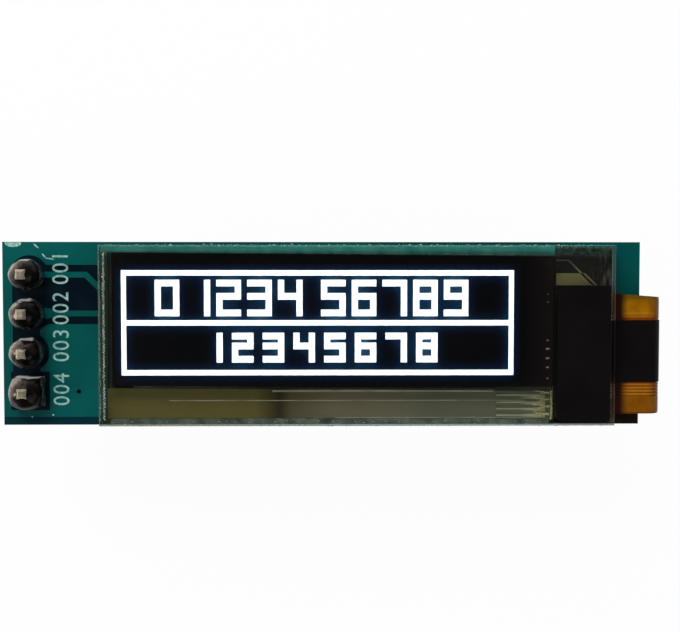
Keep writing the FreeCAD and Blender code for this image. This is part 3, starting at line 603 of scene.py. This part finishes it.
flexSet = {
    "amber": shade(140, 92, 0), "deep": shade(104, 50, 0), "red": shade(112, 42, 2),
    "olive": shade(92, 76, 6), "bonded": shade(152, 106, 86), "shadow": shade(40, 14, 6),
    "tip": shade(108, 52, 4), "line": shade(206, 128, 40), "lineShare": 0.4,
    "copper": (shade(124, 72, 0), shade(164, 112, 2)),
    "lineAt": (0.2, 0.42), "lineWide": 0.06, "fineFrom": (0.95, 0.06),
    "seenFrom": (0.9, 0.7), "redWide": 0.3 * mm, "frontDepth": 0.1 * mm,
    "zones": [("Y", -0.7, -0.25, 0.8, "olive"), ("X", -0.6, 0.1, 1.0, "tip")],
    "leaving": [(1.05, 0.55, "shadow"), (0.02, -0.02, "bonded")]}


def cableTones(tree, colour):
    # a painted shadow where it leaves the glass, redder beside the cover and at the fold
    zones = [(band(tree, "Y", low, high, 0.12), 0.7, "red")
             for low, high in ((cover[0].y - flexSet["redWide"], cover[0].y),
                               (cover[1].y, cover[1].y + flexSet["redWide"]))]
    for axis, start, end, share, name in flexSet["zones"]:
        edge = getattr(flex[1], axis.lower())
        zones.append((beside(tree, axis, edge, start, end), share, name))
    zones.append((along(tree, "Y", cover[0].y, flex[0].y), 0.6, "deep"))
    front = along(tree, "Z", board[1].z, board[1].z + flexSet["frontDepth"])
    # the shadow zone is a painted shadow of the glass on the cable; the bonded zone is its own
    # tone
    for far, near, name in flexSet["leaving"]:
        leaving = beside(tree, "X", glass[1].x, far, near)
        zones.append((times(tree, leaving, front), 1.0, name))
    return layered(tree, colour, [(times(tree, place, share), flexSet[name])
                                  for place, share, name in zones])


def cableCoat(material, colour, grain):
    tree = material.node_tree
    return coat(material, colour=colour, roughness=0.35, specular=0.2,
                normal=bump(tree, noise(tree, grain, 2.0), 0.01, 0.3))


def polyimide():
    # amber film, redder towards its folds and edges
    material, tree = startMaterial("polyimide")
    colour = cableTones(tree, mottle(tree, (0.7, 3.0), flexSet["deep"], flexSet["amber"]))
    return cableCoat(material, colour, 3.0)


def cableMetal():
    # copper lines under the amber film, the fine ones paler
    material, tree = startMaterial("cableMetal")
    colour = cableTones(tree, mottle(tree, (0.8, 3.0), *flexSet["copper"]))
    far, near = flexSet["fineFrom"]
    fine = band(tree, "Y", cover[0].y - far * mm, cover[0].y - near * mm, 0.02)
    for low in flexSet["lineAt"]:
        pale = band(tree, "Y", cover[1].y + low * mm,
                    cover[1].y + (low + flexSet["lineWide"]) * mm, 0.03)
        fine = sums(tree, "ADD", fine, pale, clamp=True)
    start, end = flexSet["seenFrom"]
    seen = band(tree, "X", glass[1].x + start * mm, flex[1].x - end * mm, 0.3)
    fine = times(tree, times(tree, fine, seen), flexSet["lineShare"])
    colour = blendColours(tree, fine, colour, flexSet["line"])
    return cableCoat(material, colour, 2.0)


def ceramic(name, light, dark):
    material, tree = startMaterial(name)
    return coat(material, colour=mottle(tree, (5.0, 4.0), dark, light), roughness=0.45,
                normal=bump(tree, noise(tree, 10.0), 0.01, 0.5))


def glintMetal(name, low, high, glow):
    # small worn metal ends, with a glow as a painted glint of the light they catch
    material, tree = startMaterial(name)
    colour = mottle(tree, (6.0, 3.0), low, high)
    return coat(material, colour=colour, roughness=0.4, emission_color=colour,
                emission_strength=glow)


def streakedLead(name, low, high):
    # plain lead metal with faint streaks along it
    material, tree = startMaterial(name)
    colour = dimmed(tree, 0.4, mottle(tree, (1.5, 4.0, (0.4, 2.0, 1)), low, high))
    return coat(material, colour=colour, roughness=0.45, specular=0.2)


print("finishes")
slotLooks = {
    "board": laminate(),
    "masked_copper": maskedCopper(),
    "tinned_metal": metal("tinnedMetal", shade(205, 205, 202), shade(160, 160, 158), 0.28),
    "solder": solderMetal(),
    "pin_metal": metal("pinMetal", shade(226, 214, 190), shade(176, 162, 138), 0.42, 2.2, 0.03),
    "black_plastic": moulded("blackPlastic", shade(20, 20, 21), shade(34, 34, 35)),
    "foam_tape": moulded("foamTape", shade(28, 28, 29), shade(44, 44, 45), 0.85, 6.0),
    "front_glass": frontGlassLook(),
    "rear_glass": rearGlassLook(),
    "drying_sheet": moulded("dryingSheet", shade(150, 148, 138), shade(172, 170, 160), 0.85, 8.0),
    "seal_resin": sealResin(),
    "lead_metal": leadMetal(),
    "lit_dots": litDots(),
    "cathode": glowLayer(),
    "polarizer": polarizerFilm(),
    "black_tape": blackTape(),
    "silicon": metal("silicon", shade(70, 72, 80), shade(50, 52, 60), 0.2, 2.0, 0.002),
    "polyimide": polyimide(),
    "conductor": cableMetal(),
    "capacitor_ceramic": ceramic("capacitorCeramic", shade(168, 136, 98), shade(140, 108, 74)),
    "resistor_ceramic": ceramic("resistorCeramic", shade(36, 36, 38), shade(22, 22, 24))}

for node in nodes.values():
    for slot in node.material_slots:
        slot.material = slotLooks[slot.material.name]
nodes["ground_via"].material_slots[0].material = slotLooks["masked_copper"]
print("nodes dressed")

# Solder joints: each is a stack of rings, as shares of the foot and of the height

moundSet = {
    "steps": [(1.0, 0.0), (1.03, 0.05), (1.07, 0.14), (1.10, 0.26), (1.12, 0.38),
              (1.11, 0.49), (1.06, 0.60), (0.98, 0.70), (0.86, 0.79), (0.71, 0.87),
              (0.54, 0.93), (0.36, 0.97), (0.18, 1.0)],
    "foot": 0.93 * mm, "height": 1.86 * mm, "points": 48, "roundness": 0.22,
    "corner": 1.42, "sunk": 0.01 * mm, "smooth": 60,
    "waves": {"lump": (0.13 * mm, 0.9 * mm), "dent": (0.02 * mm, 0.35 * mm)}}


def moundRing(centre, base, square):
    # the foot of a joint: round, or a softened square
    points, radius, turn = moundSet["points"], moundSet["foot"], 0
    if square:
        points, radius, turn = 4, radius * moundSet["corner"], 45
    foot = create(bpy.ops.mesh.primitive_circle_add, vertices=points, radius=radius,
                  location=(centre.x, centre.y, base), rotation=(0, 0, math.radians(turn)))
    editAll()
    if square:
        bpy.ops.mesh.subdivide(number_cuts=moundSet["points"] // 4 - 1)
    return foot


def solderMound(name, centre, base, square=False):
    mound = moundRing(centre, base, square)
    past = moundSet["steps"][0]
    for step in moundSet["steps"][1:]:
        bpy.ops.mesh.extrude_edges_move(TRANSFORM_OT_translate={
            "value": (0, 0, (step[1] - past[1]) * moundSet["height"])})
        share = step[0] / past[0]
        bpy.ops.transform.resize(value=(share, share, 1),
                                 center_override=(centre.x, centre.y, base))
        if square:
            bpy.ops.transform.tosphere(value=moundSet["roundness"])
        past = step
    bpy.ops.mesh.edge_face_add()
    bpy.ops.mesh.poke()
    faceOutward()
    settlePlace()
    mound.modifiers.new("fine", "SUBSURF")
    for label, (depth, size) in moundSet["waves"].items():
        pattern = bpy.data.textures.new(f"{name}{label}", "CLOUDS")
        pattern.noise_scale = size
        pattern.noise_depth = 1
        waves = mound.modifiers.new(label, "DISPLACE")
        waves.texture = pattern
        waves.strength = depth
    applyAll(mound)
    return finishPiece(mound, name, slotLooks["solder"], moundSet["smooth"])


for number in range(1, 5):
    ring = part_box(f"plated_hole_{number}")
    middle = (ring[0] + ring[1]) / 2
    piece = solderMound(f"solderMound{number}", middle, ring[1].z - moundSet["sunk"], number == 4)
    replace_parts(piece, f"solder_joint_{number}")
print("solder joints")

# Picture: the light round the dots is kept as a value at each point of a fine grid

glowStep = dotSize / glowSet["cells"]
columns = round((pictureSize.x + 2 * glowSet["margin"]) / glowStep.x)
rows = round((pictureSize.y + 2 * glowSet["margin"]) / glowStep.y)


def litMap():
    # which cells of the picture are lit, found by looking down at the lit nodes
    trees = []
    for name in ("lit_frame", "lit_figures"):
        mesh = nodes[name].data
        trees.append(BVHTree.FromPolygons([v.co[:] for v in mesh.vertices],
                                          [p.vertices[:] for p in mesh.polygons]))
    lit = np.zeros((rows, columns))
    for row in range(rows):
        y = picture[1].y + glowSet["margin"] - (row + 0.5) * glowStep.y
        for column in range(columns):
            x = picture[0].x - glowSet["margin"] + (column + 0.5) * glowStep.x
            spot = Vector((x, y, picture[1].z + mm))
            if any(tree.ray_cast(spot, Vector((0, 0, -1)), 2 * mm)[0] for tree in trees):
                lit[row, column] = 1.0
    return lit


def spread(light, reach):
    # a soft spread of the light over its neighbours, first along and then across
    steps = int(reach * 3)
    weights = np.exp(-0.5 * (np.arange(-steps, steps + 1) / reach) ** 2)
    weights /= weights.sum()
    for direction in (1, 0):
        light = np.apply_along_axis(np.convolve, direction, light, weights, "same")
    return light


def glowSheet():
    lit = litMap()
    glow = spread(lit, glowSet["near"] * glowSet["cells"])
    glow = glow + glowSet["farShare"] * spread(lit, glowSet["far"] * glowSet["cells"])
    layer = create(bpy.ops.mesh.primitive_grid_add, x_subdivisions=columns,
                   y_subdivisions=rows, size=1)
    layer.scale = (columns * glowStep.x, rows * glowStep.y, 1)
    layer.location = ((picture[0].x + picture[1].x) / 2, (picture[0].y + picture[1].y) / 2,
                      picture[0].z - glowSet["drop"])
    settlePlace()
    thick = layer.modifiers.new("thick", "SOLIDIFY")
    thick.thickness = glowSet["thick"]
    applyAll(layer)
    reach = layer.data.attributes.new("glow", "FLOAT", "POINT")
    for vertex in layer.data.vertices:
        column = (vertex.co.x - picture[0].x + glowSet["margin"]) / glowStep.x - 0.5
        row = (picture[1].y + glowSet["margin"] - vertex.co.y) / glowStep.y - 0.5
        column = min(max(int(round(column)), 0), columns - 1)
        row = min(max(int(round(row)), 0), rows - 1)
        reach.data[vertex.index].value = float(glow[row, column])
    return finishPiece(layer, "glowLayer", slotLooks["cathode"])


layer = glowSheet()
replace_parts(layer, "oled_stack")

barSet = {"thick": 1.6, "inset": 0.14, "middle": 16.0}  # in dots


def litBars():
    # the lit border and its middle bar, a little slimmer than the dots' full squares
    deep, inset = barSet["thick"] * dotSize / mm, barSet["inset"] * dotSize / mm
    x0, x1 = picture[0].x / mm + inset.x, picture[1].x / mm - inset.x
    y0, y1 = picture[0].y / mm + inset.y, picture[1].y / mm - inset.y
    middle = (picture[1].y - barSet["middle"] * dotSize.y) / mm
    rows = [(y1 - deep.y, y1), (middle - deep.y / 2, middle + deep.y / 2), (y0, y0 + deep.y)]
    base, thick = picture[0].z, (picture[1].z - picture[0].z) / mm
    bars = [plate(x0 + deep.x, x1 - deep.x, low, high, base, thick) for low, high in rows]
    bars += [plate(low, high, y0, y1, base, thick)
             for low, high in ((x0, x0 + deep.x), (x1 - deep.x, x1))]
    return finishPiece(joinAll(bars), "litBars", slotLooks["lit_dots"])


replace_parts(litBars(), "lit_frame")

backSet = {
    "inset": (0.2 * mm, 0.32 * mm), "turn": -0.45, "thick": 0.03 * mm, "drop": 0.01 * mm,
    "look": (shade(5, 5, 6), shade(10, 9, 10), 0.5)}
backing = cube(((film[0].x + film[1].x) / 2, (film[0].y + film[1].y) / 2,
                picture[0].z - backSet["drop"] - backSet["thick"] / 2),
               (film[1].x - film[0].x - backSet["inset"][0],
                film[1].y - film[0].y - backSet["inset"][1], backSet["thick"]))
backing.rotation_euler = (0, 0, math.radians(backSet["turn"]))
finishPiece(backing, "filmBacking", moulded("darkLayer", *backSet["look"]))
print("picture")

# Legend on the board

legendSet = {
    "height": 1.08 * mm, "thick": 0.012 * mm, "bold": 0.001, "narrow": 0.9,
    "x": 2.08 * mm, "fontShare": 1.38, "spacing": 1.12,
    "words": [("001", 4.25), ("002", 1.61), ("003", -0.82), ("004", -3.71)],
    "ink": shade(166, 204, 193), "worn": shade(108, 156, 148)}


def legendInk():
    material, tree = startMaterial("legendInk")
    worn = noise(tree, 6.0, 4.0)
    colour = ramp(tree, worn, [(0.35, legendSet["worn"]), (0.6, legendSet["ink"])])
    return coat(material, colour=colour, roughness=0.6, normal=bump(tree, worn, 0.01, 0.4))


inkLook = legendInk()


def legendWord(word, place):
    text = create(bpy.ops.object.text_add,
                  location=(legendSet["x"], place, maskTop + legendSet["thick"] / 2))
    text.data.body = word
    text.data.size = legendSet["height"] * legendSet["fontShare"]
    text.data.align_x = text.data.align_y = "CENTER"
    text.data.space_character = legendSet["spacing"]
    text.data.offset = legendSet["bold"] * legendSet["height"]
    text.data.extrude = legendSet["thick"] / 2
    text.scale = (legendSet["narrow"], 1, 1)
    text.rotation_euler = (0, 0, math.radians(90))
    bpy.ops.object.convert(target="MESH")
    return bpy.context.object


words = [legendWord(word, place * mm) for word, place in legendSet["words"]]
finishPiece(joinAll(words), "pinNumbers", inkLook)

# Each mark: x and y, then half its length and width or its radius, and a dash's turn
markSet = {
    "oval": (-1.03, 5.87, 0.54, 0.26), "points": 40, "edgeGap": 0.03 * mm,
    "dashes": [(0.46, 5.69, 0.23, 0.045, -42), (0.98, 5.03, 0.21, 0.05, -50),
               (1.36, 4.85, 0.275, 0.045, -8)],
    "specks": [(1.47, -5.39, 0.06), (0.10, -5.52, 0.045)]}


def flatDisc(x, y, halfLength, halfWidth, thick, base):
    disc = create(bpy.ops.mesh.primitive_circle_add, vertices=markSet["points"], radius=1,
                  fill_type="NGON", location=(x * mm, y * mm, base))
    disc.scale = (halfLength * mm, halfWidth * mm, 1)
    settlePlace()
    editAll()
    bpy.ops.mesh.extrude_region_move(TRANSFORM_OT_translate={"value": (0, 0, thick)})
    faceOutward()
    return disc


def boardMarks():
    thick = legendSet["thick"]
    marks = [flatDisc(*markSet["oval"], thick, maskTop)]
    editAll()  # the print stops at the board's edge
    bpy.ops.mesh.bisect(plane_co=(0, board[1].y - markSet["edgeGap"], 0), plane_no=(0, 1, 0),
                        clear_outer=True, use_fill=True, threshold=1e-7)
    bpy.ops.object.mode_set(mode="OBJECT")
    for x, y, halfLength, halfWidth, turn in markSet["dashes"]:
        dash = flatDisc(0, 0, halfLength, halfWidth, thick, 0)
        dash.rotation_euler = (0, 0, math.radians(turn))
        dash.location = (x * mm, y * mm, maskTop)
        settlePlace()
        marks.append(dash)
    for x, y, radius in markSet["specks"]:
        marks.append(flatDisc(x, y, radius, radius, thick, maskTop))
    return finishPiece(joinAll(marks), "boardMarks", inkLook)


boardMarks()

plugSet = {
    "share": 0.9, "thick": 0.3 * mm, "lift": 0.4 * mm,
    "look": (shade(4, 30, 32), shade(10, 44, 46), 0.5)}
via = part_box("ground_via")
viaMiddle = (via[0] + via[1]) / 2 / mm
viaHalf = (via[1] - via[0]) / 2 / mm * plugSet["share"]
plug = flatDisc(viaMiddle.x, viaMiddle.y, viaHalf.x, viaHalf.y, plugSet["thick"],
                board[0].z + plugSet["lift"])
finishPiece(plug, "viaPlug", moulded("viaResin", *plugSet["look"]))
print("legend")

# Chips and scribed lines along the cut edges of the glass, their pale tone painted glints

chipSet = {
    "perMillimetre": 5.5, "length": 0.16 * mm, "height": 0.03 * mm, "stray": 0.03 * mm,
    "sunk": 0.03 * mm, "beadStray": 0.01 * mm,
    "tones": (shade(82, 108, 94), shade(176, 188, 170))}
chance = random.Random(7)


def chippedGlassGlints():
    # pale splinters: the chipped edge, its pale tone a painted glint
    material, tree = startMaterial("chippedGlassGlints")
    sparkle = mottle(tree, (5.0, 2.0), *chipSet["tones"], (0.35, 0.62))
    return coat(material, colour=sparkle, roughness=0.35, specular=0.6)


def shardRow(count):
    # small splinters: one flattened ball of few faces and its copies
    first = create(bpy.ops.mesh.primitive_ico_sphere_add, subdivisions=1, radius=0.5)
    return [first] + [copyOf(first) for _ in range(count - 1)]


def placeShard(shard, spot, run, side, length, width, twist):
    turn = math.atan2(run.y, run.x)
    shard.location = spot + Vector((-math.sin(turn) * side, math.cos(turn) * side, 0))
    shard.scale = (length, width, chipSet["height"])
    shard.rotation_euler = (0, 0, turn + twist)


def chipRow(start, end, width, share=1.0):
    # splinters along an edge, at random
    run = end - start
    shards = shardRow(int(run.length / mm * chipSet["perMillimetre"] * share))
    for i, shard in enumerate(shards):
        placeShard(shard, start + run * ((i + chance.uniform(0.1, 0.9)) / len(shards)), run,
                   chance.gauss(0, chipSet["stray"]), chipSet["length"] * chance.uniform(0.4, 1.3),
                   width * mm * chance.uniform(0.5, 1.4), chance.gauss(0, 0.15))
    return shards


def beadRow(start, end, spacing, size, sway=0.0):
    # a scribed line: small painted glints one after another, each a little to one side
    run = end - start
    beads = shardRow(int(run.length / (spacing * mm)))
    for i, bead in enumerate(beads):
        placeShard(bead, start + run * ((i + 0.5) / len(beads)), run,
                   sway * mm * (1 if i % 2 else -1) + chance.gauss(0, chipSet["beadStray"]),
                   size * mm * chance.uniform(0.7, 1.3), size * mm * chance.uniform(0.5, 0.8),
                   chance.gauss(0, 0.4))
    return beads


def rimSpot(x, y):
    # millimetres from the left and low edges, or where negative from the right and high ones
    return Vector((glass[x < 0].x + x * mm, glass[y < 0].y + y * mm,
                   glass[1].z - chipSet["sunk"]))


# Each row: its kind, its two ends, and what chipRow or beadRow takes
rimRows = [
    (chipRow, (0.45, -0.03), (-1.6, -0.03), (0.055,)),
    (beadRow, (0.4, -0.09), (-2, -0.1), (0.2, 0.07)),
    (beadRow, (0.5, -0.3), (10, -0.3), (0.24, 0.05)),
    (beadRow, (0.35, 0.4), (0.35, -0.5), (0.1, 0.15, 0.03)),
    (chipRow, (0.08, 0.3), (0.08, -0.1), (0.055, 1.2)),
    (chipRow, (0.3, 0.05), (-0.3, 0.05), (0.055, 0.7)),
    (chipRow, (0.5, 0.3), (-4, 0.3), (0.0275, 0.25))]
chips = []
for makeRow, start, end, settings in rimRows:
    chips += makeRow(rimSpot(*start), rimSpot(*end), *settings)
finishPiece(joinAll(chips), "rimChipGlints", chippedGlassGlints())
print("rim chips")

# Dark resin under the ledge, its darkness also painted shade

ledgeSet = {
    "low": 4.12 * mm, "side": 0.1 * mm, "lowSide": 0.02 * mm, "end": 0.02 * mm,
    "start": 0.002 * mm, "drop": 0.004 * mm, "upperLap": 0.4 * mm, "gap": 0.02 * mm,
    "strip": 0.6 * mm, "lowLap": 0.1 * mm, "cuts": 6, "bevel": 0.03 * mm, "smooth": 40,
    "tones": (shade(20, 17, 15), shade(38, 34, 32)), "rubbed": shade(104, 98, 90),
    "rubbedFrom": (-1.6, -0.4), "green": shade(124, 164, 152),
    "greenFrom": (-0.8, -0.2), "lit": 0.42}


def ledgeResinAndShade():
    # near black as resin and as painted shade under the ledge, with rubbed marks towards the
    # glass's end and a greener upper border
    material, tree = startMaterial("ledgeResinAndShade")
    colour = mottle(tree, (2.2, 5.0, (0.5, 1.6, 1), 0.65), *ledgeSet["tones"], (0.35, 0.72))
    blackWhite = (grey(0.0), grey(1.0))
    rubbed = mottle(tree, (1.6, 5.0, (2.2, 0.35, 1), 0.7, (0.002, 0.001, 0)), *blackWhite,
                    (0.52, 0.62))
    towards = beside(tree, "X", glass[1].x, *ledgeSet["rubbedFrom"])
    speckle = mottle(tree, (4.0, 6.0, (0.7, 1, 1), 0.62, (0.001, 0, 0)), *blackWhite,
                     (0.36, 0.64))
    upper = beside(tree, "Y", glass[1].y, *ledgeSet["greenFrom"])
    colour = layered(tree, colour, [(times(tree, rubbed, towards), ledgeSet["rubbed"]),
                                    (times(tree, speckle, upper), ledgeSet["green"])])
    return coat(material, colour=dimmed(tree, ledgeSet["lit"], colour), roughness=0.5,
                normal=bump(tree, noise(tree, 3.0), 0.02, 0.5))


def resinBlock(x0, x1, y0, y1):
    low = Vector((x0, y0, ledgeSet["low"]))
    high = Vector((x1, y1, leads[0].z - ledgeSet["drop"]))
    block = cube((low + high) / 2, high - low)
    settlePlace()
    editAll()
    bpy.ops.mesh.subdivide(number_cuts=ledgeSet["cuts"])
    bpy.ops.object.mode_set(mode="OBJECT")
    edge = block.modifiers.new("edge", "BEVEL")
    edge.width = ledgeSet["bevel"]
    edge.segments = 2
    applyAll(block)
    return block


resinStart, resinEnd = rearGlass[1].x + ledgeSet["start"], glass[1].x - ledgeSet["end"]
upperLow = shield[1].y - ledgeSet["upperLap"]
resinBlocks = [
    resinBlock(resinStart, resinEnd, upperLow, glass[1].y - ledgeSet["side"]),
    resinBlock(resinStart, rearGlass[1].x + ledgeSet["strip"],
               glass[0].y + ledgeSet["side"], upperLow - ledgeSet["gap"]),
    resinBlock(resinStart, resinEnd, glass[0].y + ledgeSet["lowSide"],
               shield[0].y + ledgeSet["lowLap"])]
finishPiece(joinAll(resinBlocks), "ledgeResinAndShade", ledgeResinAndShade(), ledgeSet["smooth"])
print("ledge resin")

# Painted glints under the film, and marks where the cable is bonded; a look is dull, bright and
# glow, the glow a painted glint

bondSet = {
    "x": 37.9, "ys": [1.12, 0.88, -3.4, -3.6, -3.8, -4.0, -4.18], "long": 0.14,
    "wide": 0.06, "thick": 0.012 * mm, "lift": 0.001 * mm,
    "look": (shade(190, 140, 120), shade(226, 184, 164), 0.1)}
# dots of painted glint under the film, pale and glowing
dotSet = {
    "x": 33.66, "spots": [(2.55, 0.4), (2.03, 0.4), (-0.42, 0.7), (-0.97, 1.0),
    (-1.58, 1.0), (-2.17, 0.8), (-2.88, 0.6)], "radius": 0.13, "flatness": 0.55,
    "thick": 0.01 * mm, "drop": 0.012 * mm,
    "look": (shade(176, 146, 132), shade(240, 220, 208), 0.3)}
dots = []
for y, share in dotSet["spots"]:
    radius = dotSet["radius"] * share
    dots.append(flatDisc(dotSet["x"], y, radius, radius * dotSet["flatness"], dotSet["thick"],
                         film[0].z - dotSet["drop"]))
fingers = [flatDisc(bondSet["x"], y, bondSet["long"], bondSet["wide"], bondSet["thick"],
                    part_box("flex_cable")[1].z + bondSet["lift"]) for y in bondSet["ys"]]
finishPiece(joinAll(fingers), "bondFingers", glintMetal("bondMetal", *bondSet["look"]))
finishPiece(joinAll(dots), "glintDots", glintMetal("glintDotMetal", *dotSet["look"]))

# The strip of leads below the film: each line from x to x, at y, and how wide
stripSet = {
    "lines": [(9.2, 32.4, -4.38, 0.045), (15.9, 30.3, -3.76, 0.12),
              (20.0, 33.7, -5.50, 0.04), (30.5, 33.3, -4.05, 0.07),
              (30.5, 33.3, -4.51, 0.07), (30.5, 33.3, -4.94, 0.07),
              (30.5, 33.3, -5.36, 0.07)], "lineDrop": 0.002 * mm, "lineThick": 0.005,
    "lineLook": (shade(176, 170, 138), shade(250, 244, 214)),
    "back": (30.46, 34.2, -5.62, -3.5), "backLift": 0.001 * mm, "backThick": 0.004,
    "backLook": (shade(108, 112, 90), shade(146, 150, 122))}
infillSet = {"x": 36.35, "y": 3.52, "half": (0.56, 0.09), "thick": 0.018, "turn": -45}
# Lead ends: a column, then a rising and a falling row at each y, with beadRow's settings
endSet = {
    "z": 4.36, "ys": (-3.9, -4.35, -4.8, -5.3),
    "look": (shade(118, 110, 66), shade(176, 168, 122), 0.1),
    "column": ((34.08, -3.62), (34.08, -5.62), 0.13, 0.2, 0.02),
    "pair": (((32.9, 0.16), (33.95, -0.02), 0.11, 0.16, 0.01),
             ((33.2, -0.12), (33.95, 0.04), 0.12, 0.13, 0.01))}


def endRow(start, end, *settings, y=0.0):
    ends = [Vector((place[0], y + place[1], endSet["z"])) * mm for place in (start, end)]
    return beadRow(*ends, *settings)


lines = [plate(x0, x1, y - wide / 2, y + wide / 2, leads[1].z - stripSet["lineDrop"],
               stripSet["lineThick"]) for x0, x1, y, wide in stripSet["lines"]]
finishPiece(joinAll(lines), "stripLines", streakedLead("stripLines", *stripSet["lineLook"]))
long, wide = infillSet["half"]
infill = plate(-long, long, -wide, wide, leads[0].z, infillSet["thick"])
infill.location += Vector((infillSet["x"] * mm, infillSet["y"] * mm, 0))  # by the slanted lead
infill.rotation_euler = (0, 0, math.radians(infillSet["turn"]))
finishPiece(infill, "leadInfill", slotLooks["lead_metal"])
backPlate = plate(*stripSet["back"], leads[0].z + stripSet["backLift"], stripSet["backThick"])
ends = endRow(*endSet["column"])
for y in endSet["ys"]:
    for row in endSet["pair"]:
        ends += endRow(*row, y=y)
finishPiece(joinAll(ends), "leadEnds", glintMetal("leadEnds", *endSet["look"]))
finishPiece(backPlate, "stripBacking", streakedLead("stripBacking", *stripSet["backLook"]))
print("small marks")

# Stage, lights and camera

stageSet = {
    "floor": 3.0, "points": 96, "glowShare": 0.96, "mirrored": 0.12,
    "colour": grey(0.9), "behind": 0.05}


def floorLook():
    # white to the eye, and a plain pale floor to light and shadow
    material, tree = startMaterial("paleFloor")
    rays = addNode(tree, "LightPath")
    behind = between(tree, along(tree, "Y", 0.0, stageSet["behind"]), stageSet["mirrored"], 1.0)
    seen = sums(tree, "ADD", rays["Is Camera Ray"], times(tree, rays["Is Glossy Ray"], behind))
    seen = sums(tree, "ADD", seen, rays["Is Transmission Ray"], clamp=True)
    plain = addNode(tree, "BsdfDiffuse", {"Color": stageSet["colour"]})
    top = mixShaders(tree, times(tree, seen, stageSet["glowShare"]), plain["BSDF"],
                     emission(tree, grey(1.0), 1.0))
    under = addNode(tree, "NewGeometry")["Backfacing"]
    return closeMaterial(material, mixShaders(tree, under, top, seeThrough(tree, grey(1.0))))


floor = create(bpy.ops.mesh.primitive_circle_add, vertices=stageSet["points"],
               radius=stageSet["floor"], fill_type="NGON", location=(0, 0, cadBox[0].z))
floor.name = "floor"
floor.data.materials.append(floorLook())

lampSet = {
    "key": {"place": (-0.06, 0.24, 0.22), "size": 0.20, "power": 0.95},
    "side": {"place": (-0.26, -0.06, 0.20), "size": 0.16, "power": 0.4},
    "fill": {"place": (0.22, -0.20, 0.22), "size": 0.24, "power": 0.2}}
aim = Vector(((board[0].x + board[1].x) / 2, 0, board[1].z))
for name, lamp in lampSet.items():
    light = create(bpy.ops.object.light_add, type="AREA", location=lamp["place"])
    light.name = name
    light.data.size = lamp["size"]
    light.data.energy = lamp["power"]
    light.visible_glossy = name != "key"  # so that metal keeps its dark side
    light.rotation_mode = "QUATERNION"
    light.rotation_quaternion = (aim - light.location).to_track_quat("-Z", "Y")

worldSet = {
    "dark": 0.05, "pale": 0.42, "rise": (0.9, 0.3), "lit": (-0.5, 0.86),
    "edge": 0.9, "least": 0.12, "most": 1.5}


def backdrop(tree, colour, strength):
    return addNode(tree, "Background", {"Color": colour, "Strength": strength})["Background"]


def studioWorld():
    # pale at the horizon and stronger on one side; white to the eye
    world = bpy.data.worlds.new("studio")
    bpy.context.scene.world = world
    world.use_nodes = True
    tree = world.node_tree
    tree.nodes.clear()
    split = axes(tree, "Generated")
    sky = ramp(tree, fade(tree, split["Z"], *worldSet["rise"]),
               [(0.0, grey(worldSet["dark"])), (1.0, grey(worldSet["pale"]))])
    aside = sums(tree, "ADD", times(tree, split["X"], worldSet["lit"][0]),
                 times(tree, split["Y"], worldSet["lit"][1]))
    aside = fade(tree, aside, -worldSet["edge"], worldSet["edge"])
    strength = between(tree, aside, worldSet["least"], worldSet["most"])
    rays = addNode(tree, "LightPath")
    seen = sums(tree, "ADD", rays["Is Camera Ray"], rays["Is Transmission Ray"], clamp=True)
    both = mixShaders(tree, seen, backdrop(tree, sky, strength), backdrop(tree, grey(1.0), 1.0))
    addNode(tree, "OutputWorld", {"Surface": both})


studioWorld()

viewSet = {
    "target": (20.305, 1.097, 3.59), "tilt": 2.0, "turn": -0.716, "distance": 60.0,
    "lens": 48.311, "near": 0.001, "far": 20}
turned = (Matrix.Rotation(math.radians(viewSet["turn"]), 3, "Y")
          @ Matrix.Rotation(-math.radians(viewSet["tilt"]), 3, "X"))
back = turned @ Vector((0, 0, 1))
camera = create(bpy.ops.object.camera_add,
                location=(Vector(viewSet["target"]) + back * viewSet["distance"]) * mm)
camera.data.lens = viewSet["lens"]
camera.data.clip_start = viewSet["near"]
camera.data.clip_end = viewSet["far"]
camera.rotation_euler = turned.to_euler()
bpy.context.scene.camera = camera
bpy.context.scene.view_settings.view_transform = "Standard"
print("stage")
